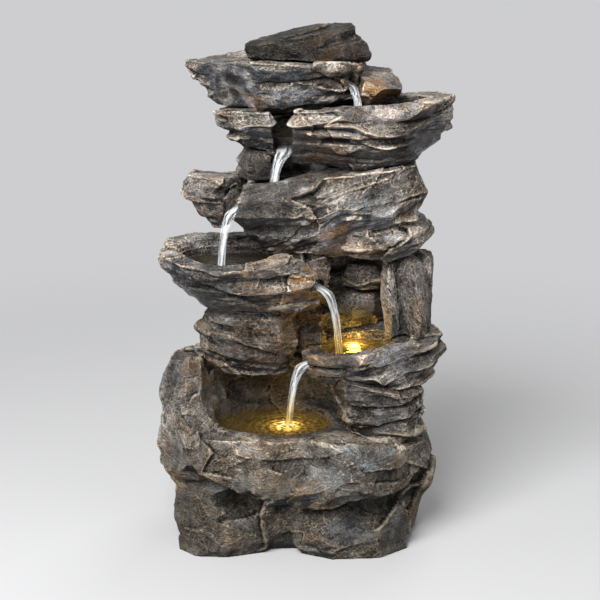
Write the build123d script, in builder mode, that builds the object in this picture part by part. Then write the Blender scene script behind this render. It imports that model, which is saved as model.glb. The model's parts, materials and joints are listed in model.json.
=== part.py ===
"""Stacked slate fountain.

Cast stones are bedded one on another and hold five basins that spill into each other. The base stone
is a hollow reservoir with a pump, and a riser hose runs from the pump up through the stones to the top
basin. Two basins hold a submerged light. A door in the flat back gives access to the pump.

Millimetres, +Z up. The front faces -Y. The origin is on the floor, under the middle of the base.
"""

import os
from math import cos, radians, sin

from build123d import *

os.makedirs("parts", exist_ok=True)

# Levels and thicknesses of the stones, from the floor up
BASE_RIM_HEIGHT = 200.0
HORN_HEIGHT = 291.0
PEDESTAL_HEIGHT = 275.0
RIGHT_PIER_BED = 158.0
RIGHT_PIER_HEIGHT = 125.0
LIT_BOWL_HEIGHT = 87.0
LEFT_PIER_HEIGHT = 105.0
LEFT_BOWL_HEIGHT = 107.0
CORE_HEIGHT = 190.0
UPRIGHT_HEADROOM = 11.0
LEAF_HEADROOM = 15.0
SHOULDER_HEIGHT = 67.0
MIDDLE_BOWL_HEIGHT = 150.0
WING_HEIGHT = 76.0
CHOCK_HEIGHT = 46.0
UPPER_BOWL_HEIGHT = 112.0
CHEEK_HEIGHT = 54.0
TOP_BOWL_HEIGHT = 84.0
CAP_HEIGHT = 60.0

# Beds: the level that each stone of the tower starts from
LIT_BOWL_BED = RIGHT_PIER_BED + 0.68 * RIGHT_PIER_HEIGHT
LIT_BOWL_TOP = LIT_BOWL_BED + LIT_BOWL_HEIGHT
LEFT_BOWL_BED = PEDESTAL_HEIGHT + LEFT_PIER_HEIGHT
UPRIGHT_BED = LIT_BOWL_TOP - 8.0
CORE_TOP = PEDESTAL_HEIGHT + CORE_HEIGHT
UPRIGHT_HEIGHT = CORE_TOP - UPRIGHT_HEADROOM - UPRIGHT_BED
LEAF_HEIGHT = CORE_TOP - LEAF_HEADROOM - UPRIGHT_BED
ALCOVE_HEIGHT = CORE_TOP - LIT_BOWL_TOP
MIDDLE_BOWL_TOP = CORE_TOP + MIDDLE_BOWL_HEIGHT
WING_BED = CORE_TOP + 43.0
CHOCK_BED = WING_BED + WING_HEIGHT - 5.0
UPPER_BOWL_BED = CORE_TOP + 141.0
CHEEK_BED = UPPER_BOWL_BED + 84.0
TOP_BOWL_BED = UPPER_BOWL_BED + 76.0
TOP_BOWL_TOP = TOP_BOWL_BED + TOP_BOWL_HEIGHT

# Reservoir and pump chamber in the base
BACK_FACE = 152.0
BACK_WALL = 22.0
FLOOR_THICKNESS = 14.0
RESERVOIR_TOP = 100.0
CHAMBER_WIDTH = 180.0
CHAMBER_DEPTH = 66.0
CHAMBER_CENTRE_X = 10.0
CHAMBER_ROOF = 13.0

# Rear door
DOOR_WIDTH = 150.0
DOOR_OPENING_HEIGHT = 100.0
DOOR_SILL = 112.0
DOOR_LIP = 12.0
DOOR_FLANGE = 6.0
DOOR_PLUG = 10.0
DOOR_CLEARANCE = 0.5
CORD_NOTCH_WIDTH = 12.0
CORD_NOTCH_HEIGHT = 14.0
CORD_NOTCH_X = -42.0
SCREW_RADIUS = 2.0
SCREW_HEAD_RADIUS = 5.5
SCREW_HEAD_LENGTH = 7.0
SCREW_LENGTH = 14.0
SCREW_CLEARANCE = 0.1
INSERT_RADIUS = 3.6
INSERT_LENGTH = 11.0

# Where the door and its two screws sit
DOOR_MIDDLE = (CHAMBER_CENTRE_X, DOOR_SILL + DOOR_OPENING_HEIGHT / 2)
SCREW_PITCH = DOOR_WIDTH + DOOR_LIP
SCREW_PLACES = [
    (CHAMBER_CENTRE_X - SCREW_PITCH / 2, BACK_FACE, DOOR_MIDDLE[1]),
    (CHAMBER_CENTRE_X + SCREW_PITCH / 2, BACK_FACE, DOOR_MIDDLE[1]),
]

# Riser hose and its duct through the stones
RISER_X = 10.0
RISER_Y = 85.0
HOSE_RADIUS = 8.0
HOSE_BORE_RADIUS = 6.0
HOSE_CLEARANCE = 0.3
HOSE_END_RISE = 10.0
CLAMP_BAND = 1.2
CLAMP_WIDTH = 8.0
CLAMP_LUG = 6.0

# Lights
LIGHT_RADIUS = 17.0
LIGHT_HEIGHT = 9.0
LIGHT_WALL = 2.0
LENS_DOME = 5.0
LIGHT_BOARD = 1.6

# Pump, with its axis along X
PUMP_LENGTH = 58.0
PUMP_WIDTH = 50.0
PUMP_HEIGHT = 50.0
PUMP_CORNER = 6.0
FOOT_HEIGHT = 8.0
FOOT_RADIUS = 8.0
VOLUTE_RADIUS = 24.0
VOLUTE_LENGTH = 22.0
VOLUTE_WALL = 2.5
IMPELLER_RADIUS = 18.0
IMPELLER_BLADES = 6
ROTOR_RADIUS = 11.5
ROTOR_LENGTH = 38.0
ROTOR_GAP = 0.5
ROTOR_END_GAP = 1.0
HUB_RADIUS = 5.0
BLADE_THICKNESS = 1.6
INLET_RADIUS = 11.0
SHAFT_RADIUS = 1.5
RUNNING_CLEARANCE = 0.05
BUSH_RADIUS = 3.5
BUSH_LENGTH = 4.0
SEAL_SECTION = 1.2
COVER_LENGTH = 24.0
COVER_WALL = 2.0
COVER_SLOTS = 16
COVER_SLOT_WIDTH = 2.4
COVER_CLEARANCE = 0.2
DIAL_RADIUS = 13.0
DIAL_THICKNESS = 3.0
DIAL_HOLE_RADIUS = 3.0
DIAL_HOLE_CIRCLE = 8.0
DIAL_PIN_RADIUS = 2.0
DIAL_SNAP = 0.8
GLAND_RADIUS = 5.0
GLAND_LENGTH = 9.0
NOZZLE_BORE_RADIUS = 4.5
NOZZLE_LENGTH = 20.0
NOZZLE_COLLAR = 3.0
NOZZLE_SHANK_RADIUS = 6.5
SOCKET_RADIUS = 8.5
SOCKET_RISE = 8.0
SOCKET_MARGIN = 0.5
COVER_SKIRT = VOLUTE_LENGTH / 2 - SOCKET_RADIUS - SOCKET_MARGIN

# Where the pump stands
PUMP_AXIS_Z = FLOOR_THICKNESS + FOOT_HEIGHT + PUMP_HEIGHT / 2
VOLUTE_CENTRE_X = RISER_X
VOLUTE_BACK_X = VOLUTE_CENTRE_X + VOLUTE_LENGTH / 2
VOLUTE_FRONT_X = VOLUTE_CENTRE_X - VOLUTE_LENGTH / 2
PUMP_AXIS = Plane(origin=(VOLUTE_BACK_X, RISER_Y, PUMP_AXIS_Z), x_dir=(0, 1, 0), z_dir=(1, 0, 0))


def write(piece, name):
    """Labels a finished piece and writes it as one node."""
    piece.part.label = name
    export_step(piece.part, f"parts/{name}.step")


def courses(outline, layers, height, bed, mode=Mode.ADD):
    """Carries a plan outline up through the layers of a stone, which meet along straight ledges.

    Each layer is (share of the height, scale of the outline, shift in X, shift in Y).
    """
    sections = []
    for share, scale, shift_x, shift_y in layers:
        with BuildSketch(bed.offset(share * height)) as section:
            with BuildLine():
                Polyline(*[(shift_x + scale * x, shift_y + scale * y) for x, y in outline], close=True)
            make_face()
        sections.append(section.sketch)
    loft(sections=sections, ruled=True, mode=mode)


def basin(centre, radii, floor, rim, draft=0.72):
    """Hollows an oval basin that narrows from its rim down to its floor."""
    sections = []
    for level, scale in ((floor, draft), (rim, 1.0)):
        with BuildSketch(Plane.XY.offset(level)) as section:
            with Locations(centre):
                Ellipse(radii[0] * scale, radii[1] * scale)
        sections.append(section.sketch)
    loft(sections=sections, mode=Mode.SUBTRACT)


def spout(start, heading, length, width, lip, depth, fall=0.0):
    """Cuts a flared channel from a basin out through its rim. The heading is in degrees from +X,
    lip is the level of the channel's floor at its start and fall is how far it drops on the way."""
    way = (cos(radians(heading)), sin(radians(heading)), -fall / length)
    across = (-sin(radians(heading)), cos(radians(heading)), 0)
    with BuildSketch(Plane(origin=(*start, lip), x_dir=across, z_dir=way)) as section:
        with BuildLine():
            Polyline((-width / 2, 0), (width / 2, 0), (width * 0.9, depth), (-width * 0.9, depth), close=True)
        make_face()
    extrude(section.sketch, amount=length, mode=Mode.SUBTRACT)


def bore_riser(bottom, top):
    """Bores the hose's duct from one level up to another."""
    with Locations((RISER_X, RISER_Y, bottom)):
        Cylinder(
            HOSE_RADIUS + HOSE_CLEARANCE,
            top - bottom,
            align=(Align.CENTER, Align.CENTER, Align.MIN),
            mode=Mode.SUBTRACT,
        )


def bed_on(*stones):
    """Cuts away what the stones underneath already fill, so that the beds meet face to face."""
    for stone in stones:
        add(stone.part, mode=Mode.SUBTRACT)


def slope(point, rise_x=0.0, rise_y=0.0):
    """A plane through a point that rises by these amounts for each millimetre along X and Y."""
    return Plane(origin=point, z_dir=(-rise_x, -rise_y, 1))


def stone_bed(x, y, level):
    """A level plane that a stone's outline is drawn on, about the stone's own middle."""
    return Plane(origin=(x, y, level))


# Base stone: body, two feet in front, a tall horn on the left and a pedestal for the tower
BASE_OUTLINE = (
    (-228, -20), (-216, -85), (-165, -135), (-90, -156), (0, -150), (95, -162), (160, -130),
    (205, -70), (218, 0), (208, 80), (150, 156), (-120, 156), (-190, 115), (-222, 45),
)
BASE_BACK = 156.0
BASE_LAYERS = ((0, 0.82, 0), (0.3, 0.86, 10), (0.45, 0.92, 18), (0.6, 0.975, 8), (0.75, 1.0, 0), (1.0, 0.96, 0))
LEFT_FOOT_OUTLINE = (
    (-74, 10), (-68, -38), (-38, -66), (15, -70), (78, -50), (108, -10), (60, 45), (-30, 60),
)
RIGHT_FOOT_OUTLINE = (
    (-110, 4), (-92, -46), (-40, -70), (40, -64), (88, -25), (80, 40), (20, 70), (-70, 55),
)
FOOT_LAYERS = ((0, 0.93, 0, 0), (0.35, 1.0, 0, 0), (0.75, 0.88, 0, 4), (1.0, 0.6, 6, 12))
FOOT_STONE_HEIGHT = 112.0
HORN_OUTLINE = (
    (-40, -10), (-30, -62), (0, -75), (34, -50), (50, 12), (74, 74), (20, 100), (-32, 60),
)
HORN_BED = 125.0
HORN_LAYERS = ((0, 1.0, 2, 0), (0.38, 1.45, 20, -12), (0.64, 0.97, 2, 0), (0.81, 0.84, 3, 6), (1.0, 0.56, 6, 14))
PEDESTAL_OUTLINE = (
    (-170, 10), (-125, -45), (-20, -62), (90, -62), (160, -25), (178, 25), (140, 62), (-130, 62),
)
PEDESTAL_BED = 140.0
PEDESTAL_BACK = 62.0
PEDESTAL_LAYERS = ((0, 1.0), (0.5, 0.99), (0.62, 0.95), (1.0, 0.9))
POOL_CENTRE = (-42, -36)
POOL_RADII = (104, 80)
POOL_FLOOR = 128.0
WEIR_WIDTH = 60.0
WEIR_LEVEL = 178.0
WEIR_HEIGHT = 22.0

with BuildPart() as base_basin:
    courses(
        BASE_OUTLINE,
        [(share, scale, shift, BACK_FACE - BASE_BACK * scale) for share, scale, shift in BASE_LAYERS],
        BASE_RIM_HEIGHT,
        Plane.XY,
    )
    split(bisect_by=slope((35, 0, BASE_RIM_HEIGHT), rise_x=-0.2), keep=Keep.BOTTOM)
    courses(LEFT_FOOT_OUTLINE, FOOT_LAYERS, FOOT_STONE_HEIGHT, stone_bed(-128, -68, 0))
    courses(RIGHT_FOOT_OUTLINE, FOOT_LAYERS, FOOT_STONE_HEIGHT, stone_bed(88, -76, 0))
    courses(HORN_OUTLINE, HORN_LAYERS, HORN_HEIGHT - HORN_BED, stone_bed(-188, -15, HORN_BED))
    courses(
        PEDESTAL_OUTLINE,
        [(share, scale, 0, PEDESTAL_BACK * (1 - scale)) for share, scale in PEDESTAL_LAYERS],
        PEDESTAL_HEIGHT - PEDESTAL_BED,
        stone_bed(10, BACK_FACE - PEDESTAL_BACK, PEDESTAL_BED),
    )
    basin(POOL_CENTRE, POOL_RADII, POOL_FLOOR, PEDESTAL_HEIGHT, draft=0.78)
    chamber_middle = BACK_FACE - BACK_WALL - CHAMBER_DEPTH / 2
    with Locations((CHAMBER_CENTRE_X, chamber_middle, FLOOR_THICKNESS)):
        Box(
            CHAMBER_WIDTH,
            CHAMBER_DEPTH,
            PEDESTAL_HEIGHT - CHAMBER_ROOF - FLOOR_THICKNESS,
            align=(Align.CENTER, Align.CENTER, Align.MIN),
            mode=Mode.SUBTRACT,
        )
    courses(
        BASE_OUTLINE,
        [(0, 0.68, 0, 24), (1.0, 0.68, 0, 24)],
        RESERVOIR_TOP - FLOOR_THICKNESS,
        Plane.XY.offset(FLOOR_THICKNESS),
        mode=Mode.SUBTRACT,
    )
    with Locations((CHAMBER_CENTRE_X, chamber_middle - CHAMBER_DEPTH / 2, WEIR_LEVEL)):
        Box(
            WEIR_WIDTH,
            CHAMBER_DEPTH,
            WEIR_HEIGHT,
            align=(Align.CENTER, Align.CENTER, Align.MIN),
            mode=Mode.SUBTRACT,
        )
    bore_riser(PEDESTAL_HEIGHT - CHAMBER_ROOF, PEDESTAL_HEIGHT)
    with BuildSketch(Plane.XZ.offset(-BACK_FACE)) as door_hole:
        with Locations((CHAMBER_CENTRE_X, DOOR_SILL + DOOR_OPENING_HEIGHT / 2)):
            Rectangle(DOOR_WIDTH, DOOR_OPENING_HEIGHT)
    extrude(door_hole.sketch, amount=BACK_WALL, mode=Mode.SUBTRACT)
    with BuildSketch(Plane.XZ.offset(-BACK_FACE)) as door_rebate:
        with Locations((CHAMBER_CENTRE_X, DOOR_SILL + DOOR_OPENING_HEIGHT / 2)):
            Rectangle(DOOR_WIDTH + 2 * DOOR_LIP, DOOR_OPENING_HEIGHT + 2 * DOOR_LIP)
    extrude(door_rebate.sketch, amount=DOOR_FLANGE, mode=Mode.SUBTRACT)
    for screw_x, screw_y, screw_z in SCREW_PLACES:
        with BuildSketch(Plane(origin=(screw_x, screw_y - DOOR_FLANGE, screw_z), z_dir=(0, -1, 0))) as insert_hole:
            Circle(INSERT_RADIUS)
        extrude(insert_hole.sketch, amount=INSERT_LENGTH, mode=Mode.SUBTRACT)
write(base_basin, "base_basin")

# Right pier: stands on the base's right shoulder and carries the lit bowl
RIGHT_PIER_OUTLINE = (
    (-76, -15), (-58, -58), (-5, -72), (50, -62), (80, -18), (74, 42), (30, 78), (-38, 76), (-70, 30),
)
RIGHT_PIER_LAYERS = (
    (0, 0.58, 4, -6), (0.09, 0.7, 4, -5), (0.24, 0.91, 5, -2), (0.29, 0.87, 4, -2), (0.47, 0.97, 5, 0),
    (0.51, 0.92, 5, 0), (0.75, 1.0, 0, 0), (1.0, 0.97, 0, 0),
)
with BuildPart() as right_pier:
    courses(RIGHT_PIER_OUTLINE, RIGHT_PIER_LAYERS, RIGHT_PIER_HEIGHT, stone_bed(124, -45, RIGHT_PIER_BED))
    split(bisect_by=slope((124, 0, RIGHT_PIER_BED + RIGHT_PIER_HEIGHT - 18), rise_x=-0.22), keep=Keep.BOTTOM)
    bed_on(base_basin)
write(right_pier, "right_pier")

# Lit bowl: the second basin from the floor, with a spout on its left
LIT_BOWL_OUTLINE = (
    (-120, -42), (-110, -68), (-76, -86), (-20, -106), (45, -98), (92, -64), (114, -14), (104, 46), (60, 66),
    (-60, 66), (-98, 30), (-108, -20),
)
LIT_BOWL_LAYERS = (
    (0, 0.55, 15, -4), (0.2, 0.82, 5, -2), (0.25, 0.81, 4, -2), (0.45, 0.96, -2, 0), (0.5, 0.94, -2, 0), (0.75, 0.99, 0, 0),
    (1.0, 1.0, 0, 0),
)
LIT_BASIN_CENTRE = (88, -36)
LIT_BASIN_RADII = (60, 54)
LIT_BASIN_FLOOR = LIT_BOWL_TOP - 35.0
LIT_SPOUT = LIT_BOWL_TOP - 22.0
with BuildPart() as lit_bowl:
    courses(LIT_BOWL_OUTLINE, LIT_BOWL_LAYERS, LIT_BOWL_HEIGHT, stone_bed(118, -5, LIT_BOWL_BED))
    split(bisect_by=slope((150, -30, LIT_BOWL_TOP), rise_x=0.09, rise_y=0.05), keep=Keep.BOTTOM)
    basin(LIT_BASIN_CENTRE, LIT_BASIN_RADII, LIT_BASIN_FLOOR, LIT_BOWL_TOP + 1)
    spout((62, -45), 191, 90, 18, LIT_SPOUT, 60, fall=30)
    bed_on(base_basin, right_pier)
write(lit_bowl, "lit_bowl")

# Left pier: two thick beds that overhang the bottom pool and carry the left bowl
LEFT_PIER_OUTLINE = (
    (-85, -15), (-64, -70), (-12, -98), (48, -90), (78, -55), (84, 40), (55, 100), (-30, 108), (-74, 60),
)
LEFT_PIER_LAYERS = (
    (0, 0.68, 5, 4), (0.2, 0.8, 2, 2), (0.26, 0.84, 1, 0), (0.52, 1.0, 0, 0), (0.6, 0.99, 0, 0),
    (0.7, 0.86, 4, 0), (0.8, 0.9, 2, 0), (1.0, 0.8, 2, 0),
)
with BuildPart() as left_pier:
    courses(LEFT_PIER_OUTLINE, LEFT_PIER_LAYERS, LEFT_PIER_HEIGHT, stone_bed(-80, 5, PEDESTAL_HEIGHT))
    bed_on(base_basin, lit_bowl)
write(left_pier, "left_pier")

# Core stone: the tall back of the tower, behind the lit bowl
CORE_OUTLINE = (
    (-100, -20), (-70, -50), (0, -58), (62, -48), (98, -10), (95, 40), (50, 68), (-60, 68), (-96, 35),
)
CORE_LAYERS = (
    (0, 1.0, 0, 0), (0.22, 0.95, 0, 2), (0.3, 1.0, 0, 0), (0.48, 0.93, 0, 3), (0.56, 0.98, 0, 1),
    (0.76, 0.9, 0, 4), (0.84, 0.95, 0, 2), (1.0, 0.9, 0, 4),
)
with BuildPart() as core_stone:
    courses(CORE_OUTLINE, CORE_LAYERS, CORE_HEIGHT, stone_bed(55, 78, PEDESTAL_HEIGHT))
    bed_on(base_basin, lit_bowl, left_pier)
    bore_riser(PEDESTAL_HEIGHT, CORE_TOP)
write(core_stone, "core_stone")

# Upright slab and its inner leaf: stand on the lit bowl's right rim
UPRIGHT_OUTLINE = ((-40, 0), (-26, -50), (8, -64), (36, -30), (38, 25), (15, 54), (-26, 48))
UPRIGHT_LAYERS = (
    (0, 0.82, 0, 0), (0.1, 0.9, 0, 0), (0.52, 1.0, 0, 0), (0.6, 0.97, 0, 0), (0.86, 0.96, -1, 0), (1.0, 0.7, 8, 4),
)
with BuildPart() as upright_slab:
    courses(UPRIGHT_OUTLINE, UPRIGHT_LAYERS, UPRIGHT_HEIGHT, stone_bed(178, 5, UPRIGHT_BED))
    bed_on(lit_bowl, core_stone)
write(upright_slab, "upright_slab")

LEAF_OUTLINE = ((-16, -6), (-4, -30), (14, -22), (18, 12), (4, 34), (-14, 22))
LEAF_LAYERS = ((0, 0.9, 4, 0), (0.5, 1.0, 0, 0), (0.8, 0.95, -2, 0), (1.0, 0.7, -3, 4))
with BuildPart() as upright_leaf:
    courses(LEAF_OUTLINE, LEAF_LAYERS, LEAF_HEIGHT, stone_bed(146, -22, UPRIGHT_BED))
    bed_on(lit_bowl, core_stone, upright_slab)
write(upright_leaf, "upright_leaf")

# Left bowl: the third basin, with its spout on the right above the lit bowl
LEFT_BOWL_OUTLINE = (
    (-138, -15), (-114, -62), (-50, -96), (30, -102), (95, -82), (135, -54), (122, 5), (70, 72),
    (-10, 96), (-90, 78), (-130, 38),
)
LEFT_BOWL_LAYERS = (
    (0, 0.66, 16, 8), (0.14, 0.76, 14, 5), (0.2, 0.78, 12, 5), (0.37, 0.91, 6, 2), (0.42, 0.89, 5, 2),
    (0.66, 1.0, 0, 0), (1.0, 0.94, 4, 2),
)
LEFT_BASIN_CENTRE = (-100, -20)
LEFT_BASIN_RADII = (96, 70)
LEFT_BASIN_FLOOR = LEFT_BOWL_BED + 42.0
LEFT_SPOUT = LEFT_BOWL_BED + 66.0
with BuildPart() as left_bowl:
    courses(LEFT_BOWL_OUTLINE, LEFT_BOWL_LAYERS, LEFT_BOWL_HEIGHT, stone_bed(-85, -20, LEFT_BOWL_BED))
    split(bisect_by=slope((0, -120, LEFT_BOWL_BED + 78), rise_y=0.13), keep=Keep.BOTTOM)
    basin(LEFT_BASIN_CENTRE, LEFT_BASIN_RADII, LEFT_BASIN_FLOOR, LEFT_BOWL_BED + LEFT_BOWL_HEIGHT)
    spout((-30, -42), -27, 105, 22, LEFT_SPOUT, 60, fall=42)
    bed_on(left_pier, core_stone)
write(left_bowl, "left_bowl")

# Sill stone: closes the lit bowl behind its spout
SILL_OUTLINE = ((-24, -2), (-14, -26), (14, -28), (24, -6), (20, 28), (-18, 30))
SILL_LAYERS = ((0, 0.8, 0, 0), (0.5, 1.0, 0, 0), (0.8, 0.96, 0, 0), (1.0, 0.7, 0, 2))
SILL_HEIGHT = 40.0
with BuildPart() as sill_stone:
    courses(SILL_OUTLINE, SILL_LAYERS, SILL_HEIGHT, stone_bed(20, -2, LIT_BASIN_FLOOR + 2))
    bed_on(base_basin, lit_bowl, left_pier, core_stone)
write(sill_stone, "sill_stone")

# Two wedge stones on the front of the core stone, above the lit bowl
WEDGE_OUTLINE = ((-42, -4), (-14, -26), (26, -24), (42, -2), (40, 30), (-40, 30))
WEDGE_LAYERS = ((0, 0.8, 2, 4), (0.35, 1.0, 0, 0), (0.7, 0.96, 0, 0), (1.0, 0.78, -2, 4))
WEDGE_HEIGHT = 0.28 * ALCOVE_HEIGHT
WEDGE_PLACES = {
    "lower_wedge": (95, 20, LIT_BOWL_TOP + 0.155 * ALCOVE_HEIGHT),
    "upper_wedge": (105, 14, LIT_BOWL_TOP + 0.5 * ALCOVE_HEIGHT),
}
for wedge_name, (wedge_x, wedge_y, wedge_bed) in WEDGE_PLACES.items():
    with BuildPart() as wedge_stone:
        courses(WEDGE_OUTLINE, WEDGE_LAYERS, WEDGE_HEIGHT, stone_bed(wedge_x, wedge_y, wedge_bed))
        bed_on(core_stone, upright_slab, upright_leaf, left_bowl)
    write(wedge_stone, wedge_name)

# Shoulder stone: the right half of the bed under the middle bowl, its layers rise to the right
SHOULDER_OUTLINE = (
    (-93, -30), (-52, -82), (20, -95), (70, -62), (89, -10), (76, 60), (20, 105), (-60, 90),
)
SHOULDER_LAYERS = (
    (0, 0.74, 0, 0), (0.3, 0.92, 0, 0), (0.36, 0.9, 0, 0), (0.62, 1.0, 0, 0), (0.75, 0.98, 0, 0), (1.0, 0.82, -6, 4),
)
with BuildPart() as shoulder_stone:
    courses(SHOULDER_OUTLINE, SHOULDER_LAYERS, SHOULDER_HEIGHT, stone_bed(118, 8, CORE_TOP))
    bed_on(core_stone, upright_slab, left_bowl)
write(shoulder_stone, "shoulder_stone")

# Middle bowl: the fourth basin, its rim rises to the right and its spout is on the left
MIDDLE_BOWL_OUTLINE = (
    (-158, -50), (-134, -88), (-70, -112), (20, -118), (100, -98), (144, -52), (153, 0), (130, 65),
    (60, 112), (-40, 116), (-108, 82), (-124, 15),
)
MIDDLE_BOWL_LAYERS = (
    (0, 0.53, -10, 0), (0.22, 0.74, -9, 0), (0.27, 0.73, -9, 0), (0.44, 0.94, -5, 0), (0.49, 0.93, -4, 0),
    (0.62, 0.99, 1, 0), (0.8, 0.92, 6, 0), (1.0, 0.86, 8, 0),
)
MIDDLE_BASIN_CENTRE = (-38, -24)
MIDDLE_BASIN_RADII = (68, 70)
MIDDLE_BASIN_FLOOR = CORE_TOP + 84.0
MIDDLE_SPOUT = CORE_TOP + 96.0
with BuildPart() as middle_bowl:
    courses(MIDDLE_BOWL_OUTLINE, MIDDLE_BOWL_LAYERS, MIDDLE_BOWL_HEIGHT, stone_bed(40, 0, CORE_TOP))
    split(bisect_by=slope((-75, 0, CORE_TOP + 116), rise_x=0.14), keep=Keep.BOTTOM)
    basin(MIDDLE_BASIN_CENTRE, MIDDLE_BASIN_RADII, MIDDLE_BASIN_FLOOR, MIDDLE_BOWL_TOP)
    spout((-62, -42), 213, 95, 22, MIDDLE_SPOUT, 60, fall=52)
    bed_on(core_stone, left_bowl, shoulder_stone)
    bore_riser(CORE_TOP, MIDDLE_BOWL_TOP)
write(middle_bowl, "middle_bowl")

# Left wing: overhangs the left bowl beside the middle bowl's spout
WING_OUTLINE = ((-47, -5), (-36, -46), (5, -64), (30, -52), (58, 0), (48, 44), (0, 56), (-38, 36))
WING_LAYERS = (
    (0, 0.3, 18, -22), (0.4, 0.74, 10, -4), (0.46, 0.76, 8, -4), (0.66, 1.0, 0, 0), (0.88, 0.97, 0, 0), (1.0, 0.82, 4, 2),
)
with BuildPart() as left_wing:
    courses(WING_OUTLINE, WING_LAYERS, WING_HEIGHT, stone_bed(-135, 10, WING_BED))
    bed_on(left_bowl, middle_bowl)
write(left_wing, "left_wing")

# Chock stone: a small wedge between the middle bowl and the upper bowl
CHOCK_OUTLINE = ((-35, -20), (-16, -62), (24, -56), (38, 10), (15, 66), (-26, 46))
CHOCK_LAYERS = ((0, 0.9, 0, 0), (0.4, 1.0, 0, 0), (0.85, 0.96, 0, 0), (1.0, 0.85, 2, 0))
with BuildPart() as chock_stone:
    courses(CHOCK_OUTLINE, CHOCK_LAYERS, CHOCK_HEIGHT, stone_bed(-62, 0, CHOCK_BED))
    bed_on(middle_bowl, left_wing)
write(chock_stone, "chock_stone")

# Upper bowl: the widest basin, its rim rises to the right and a notch in front lets the water out
UPPER_BOWL_OUTLINE = (
    (-189, -15), (-152, -64), (-80, -100), (0, -115), (90, -118), (150, -86), (186, -20), (172, 46),
    (108, 100), (0, 116), (-100, 98), (-165, 55),
)
UPPER_BOWL_LAYERS = (
    (0, 0.59, 2, 0), (0.13, 0.71, 0, 0), (0.18, 0.72, 0, 0), (0.36, 0.89, 1, 0), (0.41, 0.87, 1, 0),
    (0.52, 0.98, 0, 0), (0.76, 1.0, 0, 0), (1.0, 0.985, 0, 0),
)
UPPER_BASIN_CENTRE = (122, -16)
UPPER_BASIN_RADII = (88, 74)
UPPER_BASIN_FLOOR = UPPER_BOWL_BED + 62.0
NOTCH_BASIN_CENTRE = (0, -38)
NOTCH_BASIN_RADII = (78, 50)
NOTCH_BASIN_FLOOR = UPPER_BOWL_BED + 40.0
NOTCH_LIP = UPPER_BOWL_BED + 26.0
with BuildPart() as upper_bowl:
    courses(UPPER_BOWL_OUTLINE, UPPER_BOWL_LAYERS, UPPER_BOWL_HEIGHT, stone_bed(50, 0, UPPER_BOWL_BED))
    split(bisect_by=slope((40, -110, UPPER_BOWL_BED + 98), rise_x=0.075, rise_y=-0.05), keep=Keep.BOTTOM)
    basin(UPPER_BASIN_CENTRE, UPPER_BASIN_RADII, UPPER_BASIN_FLOOR, UPPER_BOWL_BED + UPPER_BOWL_HEIGHT)
    basin(NOTCH_BASIN_CENTRE, NOTCH_BASIN_RADII, NOTCH_BASIN_FLOOR, UPPER_BOWL_BED + UPPER_BOWL_HEIGHT)
    spout((-20, -30), 266, 100, 24, NOTCH_LIP, 80, fall=10)
    spout((-24, -74), 266, 60, 24, NOTCH_LIP, 90, fall=90)
    bed_on(middle_bowl, left_wing, chock_stone)
    bore_riser(UPPER_BOWL_BED, UPPER_BOWL_BED + UPPER_BOWL_HEIGHT)
write(upper_bowl, "upper_bowl")

# Spout cheek: the stone on the right of the top spout
CHEEK_OUTLINE = ((-32, -14), (-26, -66), (8, -74), (32, -50), (34, 20), (18, 84), (-38, 88))
CHEEK_LAYERS = ((0, 0.86, 0, 6), (0.35, 0.94, 0, 2), (0.45, 0.92, 0, 2), (0.85, 1.0, 0, 0), (1.0, 0.9, -2, 2))
with BuildPart() as spout_cheek:
    courses(CHEEK_OUTLINE, CHEEK_LAYERS, CHEEK_HEIGHT, stone_bed(120, 14, CHEEK_BED))
    bed_on(upper_bowl)
write(spout_cheek, "spout_cheek")

# Top bowl: the first basin under the cap, fed by the hose
TOP_BOWL_OUTLINE = (
    (-137, -5), (-98, -55), (-30, -90), (60, -94), (118, -84), (144, -40), (150, 40), (100, 98),
    (-20, 100), (-74, 60), (-116, 28),
)
TOP_BOWL_LAYERS = (
    (0, 0.43, 10, 0), (0.1, 0.62, 4, 0), (0.34, 0.79, 10, 0), (0.4, 0.77, 11, 0), (0.52, 0.87, 11, 0),
    (0.6, 0.88, 8, 0), (0.9, 1.0, 0, 0), (1.0, 0.97, 0, 0),
)
TOP_BASIN_CENTRE = (8, 28)
TOP_BASIN_RADII = (72, 70)
TOP_BASIN_FLOOR = TOP_BOWL_BED + 58.0
TOP_SPOUT = TOP_BOWL_BED + 60.0
with BuildPart() as top_bowl:
    courses(TOP_BOWL_OUTLINE, TOP_BOWL_LAYERS, TOP_BOWL_HEIGHT, stone_bed(-50, 8, TOP_BOWL_BED))
    basin(TOP_BASIN_CENTRE, TOP_BASIN_RADII, TOP_BASIN_FLOOR, TOP_BOWL_TOP + 1, draft=0.9)
    spout((44, -2), -50, 100, 18, TOP_SPOUT, 60, fall=34)
    bed_on(upper_bowl, spout_cheek)
    bore_riser(TOP_BOWL_BED, TOP_BOWL_TOP)
write(top_bowl, "top_bowl")

# Cap stone: a wedge that thickens to the right and hides the top basin
CAP_OUTLINE = (
    (-101, 0), (-72, -46), (0, -68), (62, -60), (102, -20), (98, 36), (50, 80), (-40, 78), (-92, 36),
)
CAP_LAYERS = ((0, 0.95, 0, 0), (0.2, 1.0, 0, 0), (0.27, 0.96, -2, 0), (0.5, 0.9, -4, 1), (0.56, 0.88, -4, 1), (1.0, 0.8, -8, 4))
with BuildPart() as cap_stone:
    courses(CAP_OUTLINE, CAP_LAYERS, CAP_HEIGHT, stone_bed(8, 22, TOP_BOWL_TOP))
    split(bisect_by=slope((-93, 0, TOP_BOWL_TOP + 19), rise_x=0.195), keep=Keep.BOTTOM)
    bed_on(spout_cheek)
write(cap_stone, "cap_stone")

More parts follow.
